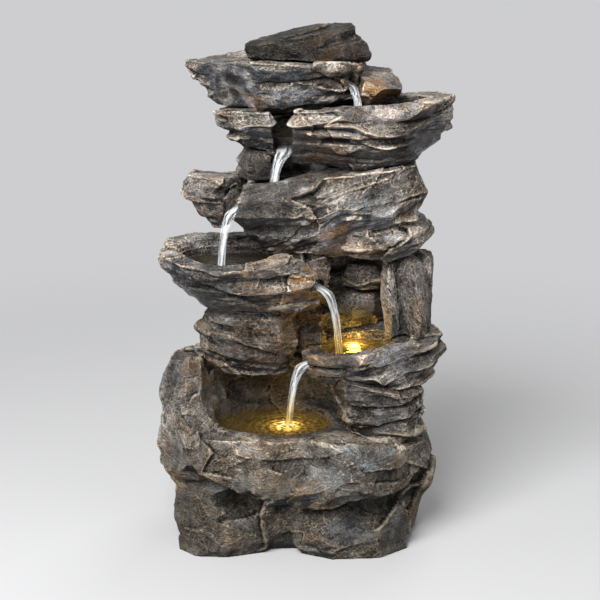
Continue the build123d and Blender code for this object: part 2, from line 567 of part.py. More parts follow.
# Rear door: a plug with a flange in the flat back, with a notch for the cord above the sill
with BuildPart() as rear_door:
    with BuildSketch(Plane.XZ.offset(-BACK_FACE)):
        with Locations(DOOR_MIDDLE):
            Rectangle(
                DOOR_WIDTH + 2 * DOOR_LIP - 2 * DOOR_CLEARANCE,
                DOOR_OPENING_HEIGHT + 2 * DOOR_LIP - 2 * DOOR_CLEARANCE,
            )
    extrude(amount=DOOR_FLANGE)
    with BuildSketch(Plane.XZ.offset(DOOR_FLANGE - BACK_FACE)):
        with Locations(DOOR_MIDDLE):
            Rectangle(DOOR_WIDTH - 2 * DOOR_CLEARANCE, DOOR_OPENING_HEIGHT - 2 * DOOR_CLEARANCE)
    extrude(amount=DOOR_PLUG)
    with BuildSketch(Plane.XZ.offset(-BACK_FACE)):
        with Locations((CORD_NOTCH_X, DOOR_SILL - DOOR_LIP)):
            SlotCenterToCenter(2 * (DOOR_LIP + CORD_NOTCH_HEIGHT - CORD_NOTCH_WIDTH / 2), CORD_NOTCH_WIDTH, rotation=90)
    extrude(amount=DOOR_FLANGE + DOOR_PLUG, mode=Mode.SUBTRACT)
    with Locations(*SCREW_PLACES):
        Cylinder(SCREW_RADIUS + SCREW_CLEARANCE, 4 * DOOR_FLANGE, rotation=(90, 0, 0), mode=Mode.SUBTRACT)
write(rear_door, "rear_door")

with BuildPart() as door_screws:
    for screw_x, screw_y, screw_z in SCREW_PLACES:
        with BuildSketch(Plane(origin=(screw_x, screw_y, screw_z), z_dir=(0, 1, 0))):
            RegularPolygon(SCREW_HEAD_RADIUS, 10)
        extrude(amount=SCREW_HEAD_LENGTH)
        with BuildSketch(Plane(origin=(screw_x, screw_y, screw_z), z_dir=(0, -1, 0))):
            Circle(SCREW_RADIUS)
        extrude(amount=SCREW_LENGTH)
write(door_screws, "door_screws")

with BuildPart() as screw_inserts:
    for screw_x, screw_y, screw_z in SCREW_PLACES:
        with BuildSketch(Plane(origin=(screw_x, screw_y - DOOR_FLANGE, screw_z), z_dir=(0, -1, 0))):
            Circle(INSERT_RADIUS)
            Circle(SCREW_RADIUS + SCREW_CLEARANCE, mode=Mode.SUBTRACT)
        extrude(amount=INSERT_LENGTH)
write(screw_inserts, "screw_inserts")

# Submerged lights: a cup, a board with three diodes and a potted clear lens
LIGHT_PLACES = {"pool": (-22, -24, POOL_FLOOR), "bowl": (88, -30, LIT_BASIN_FLOOR)}
DIODE_SIZE = 3.5
DIODE_HEIGHT = 1.2
DIODE_CIRCLE = 6.0
for light_name, (light_x, light_y, light_floor) in LIGHT_PLACES.items():
    light_seat = Plane(origin=(light_x, light_y, light_floor))
    with BuildPart() as light_cup:
        with BuildSketch(light_seat):
            Circle(LIGHT_RADIUS)
        extrude(amount=LIGHT_HEIGHT)
        with BuildSketch(light_seat.offset(LIGHT_WALL)):
            Circle(LIGHT_RADIUS - LIGHT_WALL)
        extrude(amount=LIGHT_HEIGHT - LIGHT_WALL, mode=Mode.SUBTRACT)
    write(light_cup, f"{light_name}_light_cup")
    with BuildPart() as light_board:
        with BuildSketch(light_seat.offset(LIGHT_WALL)):
            Circle(LIGHT_RADIUS - LIGHT_WALL)
        extrude(amount=LIGHT_BOARD)
        with BuildSketch(light_seat.offset(LIGHT_WALL + LIGHT_BOARD)):
            with PolarLocations(DIODE_CIRCLE, 3):
                Rectangle(DIODE_SIZE, DIODE_SIZE)
        extrude(amount=DIODE_HEIGHT)
    write(light_board, f"{light_name}_light_board")
    with BuildPart() as light_lens:
        lens_bottom = LIGHT_WALL + LIGHT_BOARD
        with BuildSketch(Plane(origin=(light_x, light_y, light_floor), x_dir=(1, 0, 0), z_dir=(0, -1, 0))):
            with BuildLine():
                lens_edge = LIGHT_RADIUS - LIGHT_WALL
                Polyline((0, LIGHT_HEIGHT + LENS_DOME), (0, lens_bottom), (lens_edge, lens_bottom), (lens_edge, LIGHT_HEIGHT))
                TangentArc((0, LIGHT_HEIGHT + LENS_DOME), (lens_edge, LIGHT_HEIGHT), tangent=(1, 0))
            make_face()
        revolve(axis=Axis((light_x, light_y, 0), (0, 0, 1)))
        bed_on(light_board)
    write(light_lens, f"{light_name}_light_lens")

# Pump motor block, with the well for its rotor
ROTOR_WELL = ROTOR_LENGTH + 2 * ROTOR_END_GAP
VOLUTE_FRONT = PUMP_AXIS.offset(-VOLUTE_LENGTH)
SEAL_MIDDLE = VOLUTE_RADIUS - VOLUTE_WALL / 2
with BuildPart() as pump_motor:
    with BuildSketch(PUMP_AXIS):
        RectangleRounded(PUMP_WIDTH, PUMP_HEIGHT, PUMP_CORNER)
    extrude(amount=PUMP_LENGTH)
    fillet(pump_motor.faces().sort_by(Axis.X)[-1].edges(), PUMP_CORNER / 2)
    with BuildSketch(PUMP_AXIS):
        Circle(ROTOR_RADIUS + ROTOR_GAP)
    extrude(amount=ROTOR_WELL, mode=Mode.SUBTRACT)
    with BuildSketch(PUMP_AXIS.offset(ROTOR_WELL)):
        Circle(BUSH_RADIUS)
    extrude(amount=BUSH_LENGTH, mode=Mode.SUBTRACT)
    with BuildSketch(PUMP_AXIS):
        Circle(SEAL_MIDDLE + SEAL_SECTION / 2)
        Circle(SEAL_MIDDLE - SEAL_SECTION / 2, mode=Mode.SUBTRACT)
    extrude(amount=SEAL_SECTION, mode=Mode.SUBTRACT)
write(pump_motor, "pump_motor")

with BuildPart() as volute_seal:
    with BuildSketch(PUMP_AXIS):
        Circle(SEAL_MIDDLE + SEAL_SECTION / 2)
        Circle(SEAL_MIDDLE - SEAL_SECTION / 2, mode=Mode.SUBTRACT)
    extrude(amount=SEAL_SECTION)
write(volute_seal, "volute_seal")

with BuildPart() as pump_gland:
    with BuildSketch(PUMP_AXIS.offset(PUMP_LENGTH)):
        Circle(GLAND_RADIUS)
    extrude(amount=GLAND_LENGTH, taper=8)
write(pump_gland, "pump_gland")

# Pump volute: the round chamber in front of the motor, with the outlet socket on top
SOCKET_TOP = PUMP_AXIS_Z + VOLUTE_RADIUS + SOCKET_RISE
with BuildPart() as pump_volute:
    with BuildSketch(VOLUTE_FRONT):
        Circle(VOLUTE_RADIUS)
    extrude(amount=VOLUTE_LENGTH)
    with Locations((RISER_X, RISER_Y, PUMP_AXIS_Z)):
        Cylinder(SOCKET_RADIUS, SOCKET_TOP - PUMP_AXIS_Z, align=(Align.CENTER, Align.CENTER, Align.MIN))
    with BuildSketch(VOLUTE_FRONT.offset(VOLUTE_WALL)):
        Circle(VOLUTE_RADIUS - VOLUTE_WALL)
    extrude(amount=VOLUTE_LENGTH - VOLUTE_WALL, mode=Mode.SUBTRACT)
    with BuildSketch(VOLUTE_FRONT):
        Circle(INLET_RADIUS)
    extrude(amount=VOLUTE_WALL, mode=Mode.SUBTRACT)
    with Locations((RISER_X, RISER_Y, PUMP_AXIS_Z)):
        Cylinder(
            NOZZLE_SHANK_RADIUS,
            SOCKET_TOP - PUMP_AXIS_Z,
            align=(Align.CENTER, Align.CENTER, Align.MIN),
            mode=Mode.SUBTRACT,
        )
    with BuildSketch(VOLUTE_FRONT):
        Circle(BUSH_RADIUS + VOLUTE_WALL / 2)
        with PolarLocations((INLET_RADIUS + BUSH_RADIUS) / 2 + 1, 3, start_angle=30):
            Rectangle(INLET_RADIUS - BUSH_RADIUS + 2, VOLUTE_WALL)
        Circle(BUSH_RADIUS, mode=Mode.SUBTRACT)
    extrude(amount=BUSH_LENGTH)
write(pump_volute, "pump_volute")

with BuildPart() as outlet_nozzle:
    with Locations((RISER_X, RISER_Y, SOCKET_TOP - SOCKET_RISE)):
        Cylinder(NOZZLE_SHANK_RADIUS, SOCKET_RISE, align=(Align.CENTER, Align.CENTER, Align.MIN))
    with Locations((RISER_X, RISER_Y, SOCKET_TOP)):
        Cylinder(SOCKET_RADIUS, NOZZLE_COLLAR, align=(Align.CENTER, Align.CENTER, Align.MIN))
    with Locations((RISER_X, RISER_Y, SOCKET_TOP + NOZZLE_COLLAR)):
        Cylinder(HOSE_BORE_RADIUS, NOZZLE_LENGTH, align=(Align.CENTER, Align.CENTER, Align.MIN))
    with Locations((RISER_X, RISER_Y, SOCKET_TOP)):
        Cylinder(NOZZLE_BORE_RADIUS, 4 * NOZZLE_LENGTH, mode=Mode.SUBTRACT)
write(outlet_nozzle, "outlet_nozzle")

# Riser hose: pushed over the nozzle, runs up to the top basin
HOSE_BOTTOM = SOCKET_TOP + NOZZLE_COLLAR
HOSE_TOP = TOP_BASIN_FLOOR + HOSE_END_RISE
with BuildPart() as riser_hose:
    with BuildSketch(Plane.XY.offset(HOSE_BOTTOM)):
        with Locations((RISER_X, RISER_Y)):
            Circle(HOSE_RADIUS)
            Circle(HOSE_BORE_RADIUS, mode=Mode.SUBTRACT)
    extrude(amount=HOSE_TOP - HOSE_BOTTOM)
write(riser_hose, "riser_hose")

with BuildPart() as hose_clamp:
    with BuildSketch(Plane.XY.offset(HOSE_BOTTOM + CLAMP_WIDTH)):
        with Locations((RISER_X, RISER_Y)):
            Circle(HOSE_RADIUS + CLAMP_BAND)
        with Locations((RISER_X + HOSE_RADIUS + CLAMP_LUG / 2, RISER_Y)):
            Rectangle(CLAMP_LUG, CLAMP_LUG)
        with Locations((RISER_X, RISER_Y)):
            Circle(HOSE_RADIUS, mode=Mode.SUBTRACT)
    extrude(amount=CLAMP_WIDTH)
write(hose_clamp, "hose_clamp")

# Impeller, its magnet rotor, the fixed shaft and the shaft's two bushes
HUB_FRONT = BUSH_LENGTH + ROTOR_END_GAP
with BuildPart() as impeller:
    with BuildSketch(VOLUTE_FRONT.offset(HUB_FRONT)):
        Circle(HUB_RADIUS)
    extrude(amount=VOLUTE_LENGTH - HUB_FRONT + ROTOR_END_GAP)
    with BuildSketch(VOLUTE_FRONT.offset(HUB_FRONT)):
        with PolarLocations((IMPELLER_RADIUS + SHAFT_RADIUS) / 2 + 1, IMPELLER_BLADES):
            Rectangle(IMPELLER_RADIUS - SHAFT_RADIUS - 2, BLADE_THICKNESS)
    extrude(amount=VOLUTE_LENGTH - HUB_FRONT - 2 * ROTOR_END_GAP)
    with BuildSketch(VOLUTE_FRONT):
        Circle(SHAFT_RADIUS + RUNNING_CLEARANCE)
    extrude(amount=2 * VOLUTE_LENGTH, mode=Mode.SUBTRACT)
write(impeller, "impeller")

with BuildPart() as rotor_magnet:
    with BuildSketch(PUMP_AXIS.offset(ROTOR_END_GAP)):
        Circle(ROTOR_RADIUS)
        Circle(SHAFT_RADIUS + RUNNING_CLEARANCE, mode=Mode.SUBTRACT)
    extrude(amount=ROTOR_LENGTH)
write(rotor_magnet, "rotor_magnet")

with BuildPart() as impeller_shaft:
    with BuildSketch(VOLUTE_FRONT):
        Circle(SHAFT_RADIUS)
    extrude(amount=VOLUTE_LENGTH + ROTOR_WELL + BUSH_LENGTH)
write(impeller_shaft, "impeller_shaft")

with BuildPart() as shaft_bushes:
    for bush_plane in (VOLUTE_FRONT, PUMP_AXIS.offset(ROTOR_WELL)):
        with BuildSketch(bush_plane):
            Circle(BUSH_RADIUS)
            Circle(SHAFT_RADIUS, mode=Mode.SUBTRACT)
        extrude(amount=BUSH_LENGTH)
write(shaft_bushes, "shaft_bushes")

# Intake cover: a slotted cup that seats on the volute, with a dial that throttles its front holes
COVER_FRONT = VOLUTE_FRONT.offset(-COVER_LENGTH)
with BuildPart() as pump_cover:
    with BuildSketch(COVER_FRONT):
        Circle(VOLUTE_RADIUS + COVER_CLEARANCE + COVER_WALL)
    extrude(amount=COVER_LENGTH + COVER_SKIRT)
    with BuildSketch(VOLUTE_FRONT):
        Circle(VOLUTE_RADIUS + COVER_CLEARANCE)
    extrude(amount=COVER_SKIRT, mode=Mode.SUBTRACT)
    with BuildSketch(COVER_FRONT.offset(COVER_WALL)):
        Circle(VOLUTE_RADIUS - COVER_WALL)
    extrude(amount=COVER_LENGTH - COVER_WALL, mode=Mode.SUBTRACT)
    with BuildSketch(COVER_FRONT.offset(2 * COVER_WALL)):
        with PolarLocations(VOLUTE_RADIUS, COVER_SLOTS):
            Rectangle(6 * COVER_WALL, COVER_SLOT_WIDTH)
    extrude(amount=COVER_LENGTH - 4 * COVER_WALL, mode=Mode.SUBTRACT)
    with BuildSketch(COVER_FRONT):
        with PolarLocations(DIAL_HOLE_CIRCLE, 3):
            Circle(DIAL_HOLE_RADIUS)
        Circle(DIAL_PIN_RADIUS + RUNNING_CLEARANCE)
    extrude(amount=COVER_WALL, mode=Mode.SUBTRACT)
write(pump_cover, "pump_cover")

with BuildPart() as flow_dial:
    with BuildSketch(COVER_FRONT.offset(-DIAL_THICKNESS - RUNNING_CLEARANCE)):
        Circle(DIAL_RADIUS)
        with PolarLocations(DIAL_HOLE_CIRCLE, 3):
            Circle(DIAL_HOLE_RADIUS, mode=Mode.SUBTRACT)
    extrude(amount=DIAL_THICKNESS)
    with BuildSketch(COVER_FRONT.offset(-2 * DIAL_THICKNESS)):
        with Locations(Location((0, 0, 0), 90)):
            Rectangle(2 * DIAL_PIN_RADIUS, DIAL_RADIUS)
    extrude(amount=DIAL_THICKNESS)
    with BuildSketch(COVER_FRONT.offset(-DIAL_THICKNESS)):
        Circle(DIAL_PIN_RADIUS)
    extrude(amount=DIAL_THICKNESS + COVER_WALL + RUNNING_CLEARANCE)
    with BuildSketch(COVER_FRONT.offset(COVER_WALL + RUNNING_CLEARANCE)):
        Circle(DIAL_PIN_RADIUS + DIAL_SNAP)
    extrude(amount=DIAL_SNAP)
write(flow_dial, "flow_dial")

# Four suction feet under the motor block
with BuildPart() as suction_feet:
    with BuildSketch(Plane.XY.offset(FLOOR_THICKNESS)):
        with Locations((VOLUTE_BACK_X + PUMP_LENGTH / 2, RISER_Y)):
            with GridLocations(PUMP_LENGTH - 3 * FOOT_RADIUS, PUMP_WIDTH - 2 * FOOT_RADIUS, 2, 2):
                Circle(FOOT_RADIUS)
    extrude(amount=FOOT_HEIGHT, taper=20)
write(suction_feet, "suction_feet")
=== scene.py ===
"""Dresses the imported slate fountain: carved stones, running water, lamps, fittings and a studio stage."""

import json
from itertools import product

import bmesh
import bpy
import numpy as np
from bpy.props import FloatProperty, FloatVectorProperty, IntProperty, PointerProperty
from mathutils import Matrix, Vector

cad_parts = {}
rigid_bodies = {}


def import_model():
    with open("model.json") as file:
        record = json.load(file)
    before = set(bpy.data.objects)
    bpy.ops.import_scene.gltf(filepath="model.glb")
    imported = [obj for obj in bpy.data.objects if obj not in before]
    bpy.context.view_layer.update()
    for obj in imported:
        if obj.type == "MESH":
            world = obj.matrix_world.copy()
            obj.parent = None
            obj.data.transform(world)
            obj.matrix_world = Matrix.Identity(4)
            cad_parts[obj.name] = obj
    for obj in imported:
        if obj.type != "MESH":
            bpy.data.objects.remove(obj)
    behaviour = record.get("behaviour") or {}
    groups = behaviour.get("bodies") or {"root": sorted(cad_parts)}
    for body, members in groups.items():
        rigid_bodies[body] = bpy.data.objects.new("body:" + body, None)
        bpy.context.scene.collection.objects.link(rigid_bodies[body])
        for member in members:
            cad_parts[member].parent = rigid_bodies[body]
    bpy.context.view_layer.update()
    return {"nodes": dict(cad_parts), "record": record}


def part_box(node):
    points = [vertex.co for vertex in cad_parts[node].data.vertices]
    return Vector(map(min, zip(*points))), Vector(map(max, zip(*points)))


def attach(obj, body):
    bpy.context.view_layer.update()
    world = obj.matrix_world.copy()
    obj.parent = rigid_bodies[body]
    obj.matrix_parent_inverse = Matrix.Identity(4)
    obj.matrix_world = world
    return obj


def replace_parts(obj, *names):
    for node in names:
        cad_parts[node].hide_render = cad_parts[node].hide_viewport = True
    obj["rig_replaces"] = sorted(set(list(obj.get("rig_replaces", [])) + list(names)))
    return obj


bl_info = {
    "name": "Slate Fountain",
    "version": (1, 0, 0),
    "blender": (4, 5, 0),
    "location": "View3D > Sidebar > Fountain",
    "description": "Carves the stones of a slate fountain and adds its water, lamps and stage",
    "category": "Object",
}

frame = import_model()

# Each stone: bedding direction, bed height, shelf depth, face size, face depth, brightness, seed (metres)
STONES = {
    "base_basin": ((-0.1, 0.1, 1.0), 0.095, 0.006, 0.125, 0.0105, 0.82, 11),
    "right_pier": ((-0.08, 0.05, 1.0), 0.034, 0.0145, 0.06, 0.0035, 0.68, 12),
    "lit_bowl": ((-0.3, 0.02, 1.0), 0.031, 0.014, 0.065, 0.0035, 1.08, 13),
    "left_pier": ((0.12, 0.05, 1.0), 0.044, 0.014, 0.065, 0.004, 0.66, 14),
    "core_stone": ((0.05, 0.03, 1.0), 0.036, 0.009, 0.055, 0.0035, 0.6, 15),
    "upright_slab": ((1.0, 0.25, 0.22), 0.026, 0.008, 0.06, 0.0045, 0.76, 16),
    "upright_leaf": ((1.0, 0.2, 0.1), 0.018, 0.004, 0.04, 0.003, 1.0, 17),
    "left_bowl": ((-0.14, 0.08, 1.0), 0.038, 0.0115, 0.07, 0.0055, 1.1, 18),
    "sill_stone": ((0.1, 0.0, 1.0), 0.02, 0.0045, 0.04, 0.003, 0.8, 19),
    "lower_wedge": ((-0.06, 0.0, 1.0), 0.024, 0.006, 0.045, 0.003, 0.58, 20),
    "upper_wedge": ((0.05, 0.0, 1.0), 0.024, 0.006, 0.045, 0.003, 0.58, 21),
    "shoulder_stone": ((-0.3, 0.04, 1.0), 0.042, 0.0115, 0.075, 0.0045, 1.2, 22),
    "middle_bowl": ((-0.34, 0.05, 1.0), 0.046, 0.0145, 0.095, 0.0055, 1.08, 23),
    "left_wing": ((0.16, 0.05, 1.0), 0.036, 0.008, 0.06, 0.005, 0.95, 24),
    "chock_stone": ((0.04, 0.0, 1.0), 0.026, 0.007, 0.045, 0.003, 0.85, 25),
    "upper_bowl": ((-0.08, 0.04, 1.0), 0.033, 0.0115, 0.075, 0.004, 1.12, 26),
    "spout_cheek": ((-0.12, 0.1, 1.0), 0.024, 0.008, 0.045, 0.0035, 0.9, 27),
    "top_bowl": ((-0.05, 0.05, 1.0), 0.052, 0.0085, 0.08, 0.0055, 0.98, 28),
    # The cap stone's low brightness is partly its own dark tone and partly painted shade on its front face
    "cap_stone": ((-0.17, 0.05, 1.0), 0.03, 0.0085, 0.075, 0.004, 0.21, 29),
}
# Flat cuts: stone, a point on the surface, way the cut looks, how deep it goes there, deepest cut anywhere
CUTS = (
    ("base_basin", (-0.166, -0.131, 0.168), (-0.62, -0.76, 0.18), 0.008, 0.016),
    ("base_basin", (-0.075, -0.15, 0.15), (-0.12, -0.98, 0.16), 0.003, 0.01),
    ("base_basin", (0.19, -0.1, 0.14), (0.7, -0.7, -0.1), 0.007, 0.014),
    ("base_basin", (-0.205, -0.07, 0.235), (-0.7, -0.6, 0.38), 0.006, 0.014),
    ("base_basin", (-0.16, -0.115, 0.06), (-0.55, -0.8, 0.25), 0.006, 0.012),
    ("left_bowl", (-0.188, -0.06, 0.415), (-0.62, -0.66, -0.42), 0.007, 0.014),
    ("left_bowl", (-0.09, -0.11, 0.425), (-0.06, -0.92, -0.38), 0.005, 0.012),
    ("left_bowl", (0.03, -0.11, 0.452), (0.4, -0.45, 0.8), 0.012, 0.024),
    ("middle_bowl", (0.03, -0.1, 0.52), (0.1, -0.82, -0.56), 0.006, 0.014),
    ("middle_bowl", (0.074, -0.111, 0.57), (0.16, -0.97, 0.18), 0.005, 0.012),
    ("top_bowl", (-0.015, -0.08, 0.735), (0.02, -0.9, -0.42), 0.005, 0.012),
    ("top_bowl", (-0.11, -0.05, 0.738), (-0.5, -0.74, -0.45), 0.006, 0.014),
    ("upper_bowl", (0.2, -0.07, 0.665), (0.66, -0.62, -0.42), 0.007, 0.014),
    ("spout_cheek", (0.126, -0.052, 0.73), (0.35, -0.25, 0.9), 0.005, 0.018),
    ("spout_cheek", (0.136, -0.05, 0.716), (0.45, -0.5, -0.74), 0.006, 0.018),
    ("upright_slab", (0.163, -0.049, 0.397), (-0.5, -0.85, 0.15), 0.006, 0.014),
    ("upright_slab", (0.194, -0.045, 0.428), (0.55, -0.8, 0.25), 0.007, 0.014),
    ("cap_stone", (0.0, -0.04, 0.79), (-0.02, -0.96, 0.28), 0.006, 0.014),
    ("cap_stone", (0.085, -0.02, 0.79), (0.62, -0.7, 0.35), 0.005, 0.012),
)
# Flake scars: stone, middle on the surface, way it looks, half width, depth
SCARS = (
    ("base_basin", (0.008, -0.152, 0.142), (0.06, -0.98, 0.14), 0.046, 0.0075),
    ("base_basin", (0.122, -0.147, 0.172), (0.16, -0.8, 0.58), 0.056, 0.009),
    ("base_basin", (0.081, -0.138, 0.058), (0.0, -0.96, 0.26), 0.036, 0.006),
    ("base_basin", (-0.2, -0.08, 0.15), (-0.8, -0.58, 0.1), 0.04, 0.007),
    ("middle_bowl", (-0.012, -0.103, 0.588), (0.0, -0.76, 0.65), 0.052, 0.0075),
    ("middle_bowl", (0.12, -0.098, 0.552), (0.3, -0.92, 0.2), 0.036, 0.006),
    ("upper_bowl", (0.11, -0.112, 0.69), (0.1, -0.88, 0.46), 0.05, 0.006),
    ("lit_bowl", (0.15, -0.095, 0.3), (0.25, -0.95, 0.15), 0.04, 0.006),
    ("right_pier", (0.12, -0.112, 0.2), (0.05, -0.95, 0.3), 0.04, 0.006),
    ("shoulder_stone", (0.135, -0.085, 0.516), (0.15, -0.9, 0.4), 0.04, 0.006),
)
# Ledges on the front: stone, line in x and z, how far the stone falls back under it, and over what height
LEDGES = (
    ("base_basin", ((-0.205, 0.2), (-0.186, 0.156), (-0.154, 0.134), (-0.101, 0.11), (-0.039, 0.092),
                    (0.031, 0.084), (0.093, 0.092), (0.148, 0.104), (0.2, 0.118)), 0.015, 0.06),
    ("base_basin", ((-0.12, 0.176), (-0.04, 0.17), (0.04, 0.178), (0.11, 0.196), (0.2, 0.204)), 0.006, 0.03),
    ("middle_bowl", ((-0.11, 0.56), (-0.068, 0.572), (-0.012, 0.572), (0.02, 0.582), (0.044, 0.604)),
     0.007, 0.024),
    ("middle_bowl", ((-0.08, 0.512), (-0.036, 0.523), (0.025, 0.53), (0.093, 0.556), (0.2, 0.572)),
     0.008, 0.03),
    ("upper_bowl", ((-0.004, 0.677), (0.05, 0.686), (0.098, 0.69), (0.167, 0.686), (0.23, 0.7)),
     0.008, 0.03),
    ("upper_bowl", ((-0.004, 0.65), (0.056, 0.661), (0.102, 0.66), (0.167, 0.657), (0.21, 0.67)),
     0.006, 0.03),
    ("left_bowl", ((-0.205, 0.448), (-0.152, 0.43), (-0.076, 0.418), (0.015, 0.428), (0.05, 0.44)),
     0.008, 0.03),
    ("left_bowl", ((-0.205, 0.466), (-0.128, 0.452), (-0.045, 0.448), (0.02, 0.45)), 0.005, 0.02),
    ("left_pier", ((-0.17, 0.346), (-0.102, 0.347), (-0.06, 0.327), (0.0, 0.306)), 0.013, 0.026),
    ("right_pier", ((0.04, 0.25), (0.093, 0.238), (0.139, 0.243), (0.22, 0.252)), 0.009, 0.022),
    ("right_pier", ((0.04, 0.212), (0.093, 0.203), (0.139, 0.214), (0.22, 0.236)), 0.009, 0.022),
    ("lit_bowl", ((0.0, 0.3), (0.077, 0.296), (0.153, 0.31), (0.22, 0.326)), 0.008, 0.028),
    ("top_bowl", ((-0.19, 0.752), (-0.09, 0.738), (0.02, 0.742), (0.08, 0.748)), 0.005, 0.03),
)

# Upright round zones that stay as built: centre x, y, radius, lowest and highest level
KEPT_BORES = (
    (0.01, 0.085, 0.015, 0.0, 0.9),
    (-0.022, -0.024, 0.024, 0.12, 0.146),
    (0.088, -0.03, 0.024, 0.287, 0.312),
)
# Boxes that stay as built: the pump's chamber, the door's opening and the standing face
KEPT_BOXES = (
    ((-0.086, 0.058, 0.004), (0.106, 0.17, 0.268)),
    ((-0.1, 0.124, 0.09), (0.12, 0.17, 0.235)),
    ((-0.3, -0.3, -0.01), (0.3, 0.3, 0.0015)),
)
# Ochre stains: place, reach, strength
STAINS = (
    ((0.128, -0.055, 0.726), 0.05, 1.0), ((0.045, -0.05, 0.762), 0.03, 0.9),
    ((0.015, -0.105, 0.436), 0.048, 1.0), ((-0.06, -0.11, 0.41), 0.04, 0.5),
    ((0.01, -0.075, 0.296), 0.04, 0.9), ((0.08, -0.06, 0.752), 0.035, 0.7),
    ((0.06, -0.085, 0.48), 0.035, 0.5),
    ((-0.06, -0.14, 0.195), 0.045, 0.3), ((0.178, -0.06, 0.56), 0.035, 0.4),
    ((0.03, -0.09, 0.62), 0.04, 0.6), ((0.02, -0.03, 0.33), 0.04, 0.6),
    ((-0.02, -0.105, 0.405), 0.055, 0.8), ((-0.055, -0.085, 0.35), 0.05, 0.6),
    ((0.02, -0.105, 0.5), 0.03, 0.4),
)
# Pools: centre, radii, level, where a stream lands, glow
POOLS = {
    "top_pool": ((0.008, 0.028), (0.073, 0.071), 0.752, None, 0.0),
    "upper_pool": ((0.122, -0.016), (0.087, 0.074), 0.69, (0.086, -0.062), 0.0),
    "notch_pool": ((0.0, -0.038), (0.077, 0.05), 0.66, None, 0.0),
    "middle_pool": ((-0.038, -0.024), (0.068, 0.07), 0.575, (-0.04, -0.08), 0.0),
    "left_pool": ((-0.1, -0.02), (0.092, 0.067), 0.45, (-0.118, -0.062), 0.0),
    "lit_pool": ((0.088, -0.036), (0.06, 0.054), 0.314, (0.064, -0.066), 1.0),
    "bottom_pool": ((-0.042, -0.036), (0.098, 0.076), 0.186, (-0.019, -0.05), 1.0),
}
# Streams: inner end of the channel, lip, landing point, width at the lip and at the landing
STREAMS = {
    "top_stream": ((0.054, -0.014, 0.741), (0.077, -0.042, 0.727), (0.088, -0.062, 0.688), 0.016, 0.012),
    "notch_stream": ((-0.021, -0.044, 0.636), (-0.024, -0.077, 0.631), (-0.041, -0.085, 0.574),
                     0.027, 0.014),
    "middle_stream": ((-0.082, -0.055, 0.553), (-0.105, -0.07, 0.536), (-0.121, -0.079, 0.449),
                      0.023, 0.013),
    "left_stream": ((0.008, -0.061, 0.432), (0.041, -0.078, 0.417), (0.062, -0.079, 0.313), 0.021, 0.013),
    "lit_stream": ((0.036, -0.05, 0.3), (0.003, -0.057, 0.291), (-0.019, -0.06, 0.185), 0.026, 0.013),
}

# Lamps under the water, then each lit pool's lamp and the reach of its glow, which is seen a little forward
LAMPS = {"pool_lamp": (-0.022, -0.024, 0.165), "bowl_lamp": (0.086, -0.004, 0.321)}
LIT_POOLS = {"bottom_pool": ("pool_lamp", 0.1), "lit_pool": ("bowl_lamp", 0.07)}
GLOW_FORWARD = 0.015
# Streams whose foot is painted with the lamps' gold light
GOLDEN_STREAMS = ("left_stream", "lit_stream")
# Studio lights: place, aim, size, power
LIGHTS = {
    "key": ((-0.9, -2.0, 2.2), (0.0, 0.0, 0.42), 1.7, 115.0),
    "fill": ((1.8, -1.9, 1.0), (0.0, 0.0, 0.4), 1.4, 5.0),
    "back": ((0.8, 1.7, 2.0), (0.0, 0.0, 0.45), 1.2, 13.0),
}
AMBIENT = 0.26
SENSOR_WIDTH = 36.0
# Carving: margin round the kept zones, deepest cut, highest ridge, and how much lower ridges are in water
KEPT_MARGIN = 0.014
DEEPEST_CUT = 0.022
HIGHEST_RIDGE = 0.0095
WET_SINK = 0.0105
TRIANGLE_LIMIT = 185000
# Ledges: width of the lip, fade at both ends; flat cuts leave points alone that stand out farther than this
LEDGE_LIP = 0.005
LEDGE_END = 0.02
CUT_REACH = 0.06
# Wet stone: rim round the water, depth of a basin, and height up the walls behind a lit pool that is wetted
# and darkened with painted shade
WET_RIM = 0.012
BASIN_DEPTH = 0.075
SPLASH_SHADE_HEIGHT = 0.11
# Rear door: grain, screws' places and level, and the plain ring round each screw
DOOR_GRAIN = 0.002
SCREW_PLACES = (-0.071, 0.091)
SCREW_LEVEL = 0.162
SCREW_RING = 0.009
# Moulded or cast finishes: colour, roughness, scale and depth of the grain, metal, spread of the colour
MOULDED = {
    "black_plastic": ((0.022, 0.023, 0.025), 0.46, 900.0, 0.00025, 0.0, 0.25),
    "white_plastic": ((0.68, 0.68, 0.66), 0.4, 900.0, 0.00025, 0.0, 0.06),
    "rubber": ((0.03, 0.03, 0.03), 0.85, 500.0, 0.00025, 0.0, 0.25),
    "brass": ((0.72, 0.5, 0.2), 0.34, 600.0, 0.0001, 1.0, 0.12),
    "steel": ((0.56, 0.56, 0.57), 0.3, 1200.0, 0.0001, 1.0, 0.1),
    "ferrite": ((0.06, 0.058, 0.058), 0.62, 800.0, 0.00025, 0.0, 0.25),
    "ceramic": ((0.8, 0.77, 0.7), 0.22, 700.0, 0.0001, 0.0, 0.05),
    "circuit_board": ((0.03, 0.14, 0.055), 0.42, 300.0, 0.00025, 0.0, 0.4),
}
# Water: step and reach of ripples, refraction, colour of clear water, and the gold of a stream's foot in a
# lit pool, which is the lamps' light painted on
RIPPLE_STEP = 0.0021
RIPPLE_REACH = 0.022
WATER_IOR = 1.33
CLEAR_WATER = (0.88, 0.91, 0.94, 1.0)
GOLDEN_WATER = (0.95, 0.66, 0.2, 1.0)


def colour_setting(name, description, default):
    return FloatVectorProperty(name=name, description=description, default=default, subtype="COLOR")


def length_setting(name, description, default, least=0.0):
    return FloatProperty(
        name=name, description=description, default=default, min=least, unit="LENGTH", precision=4)


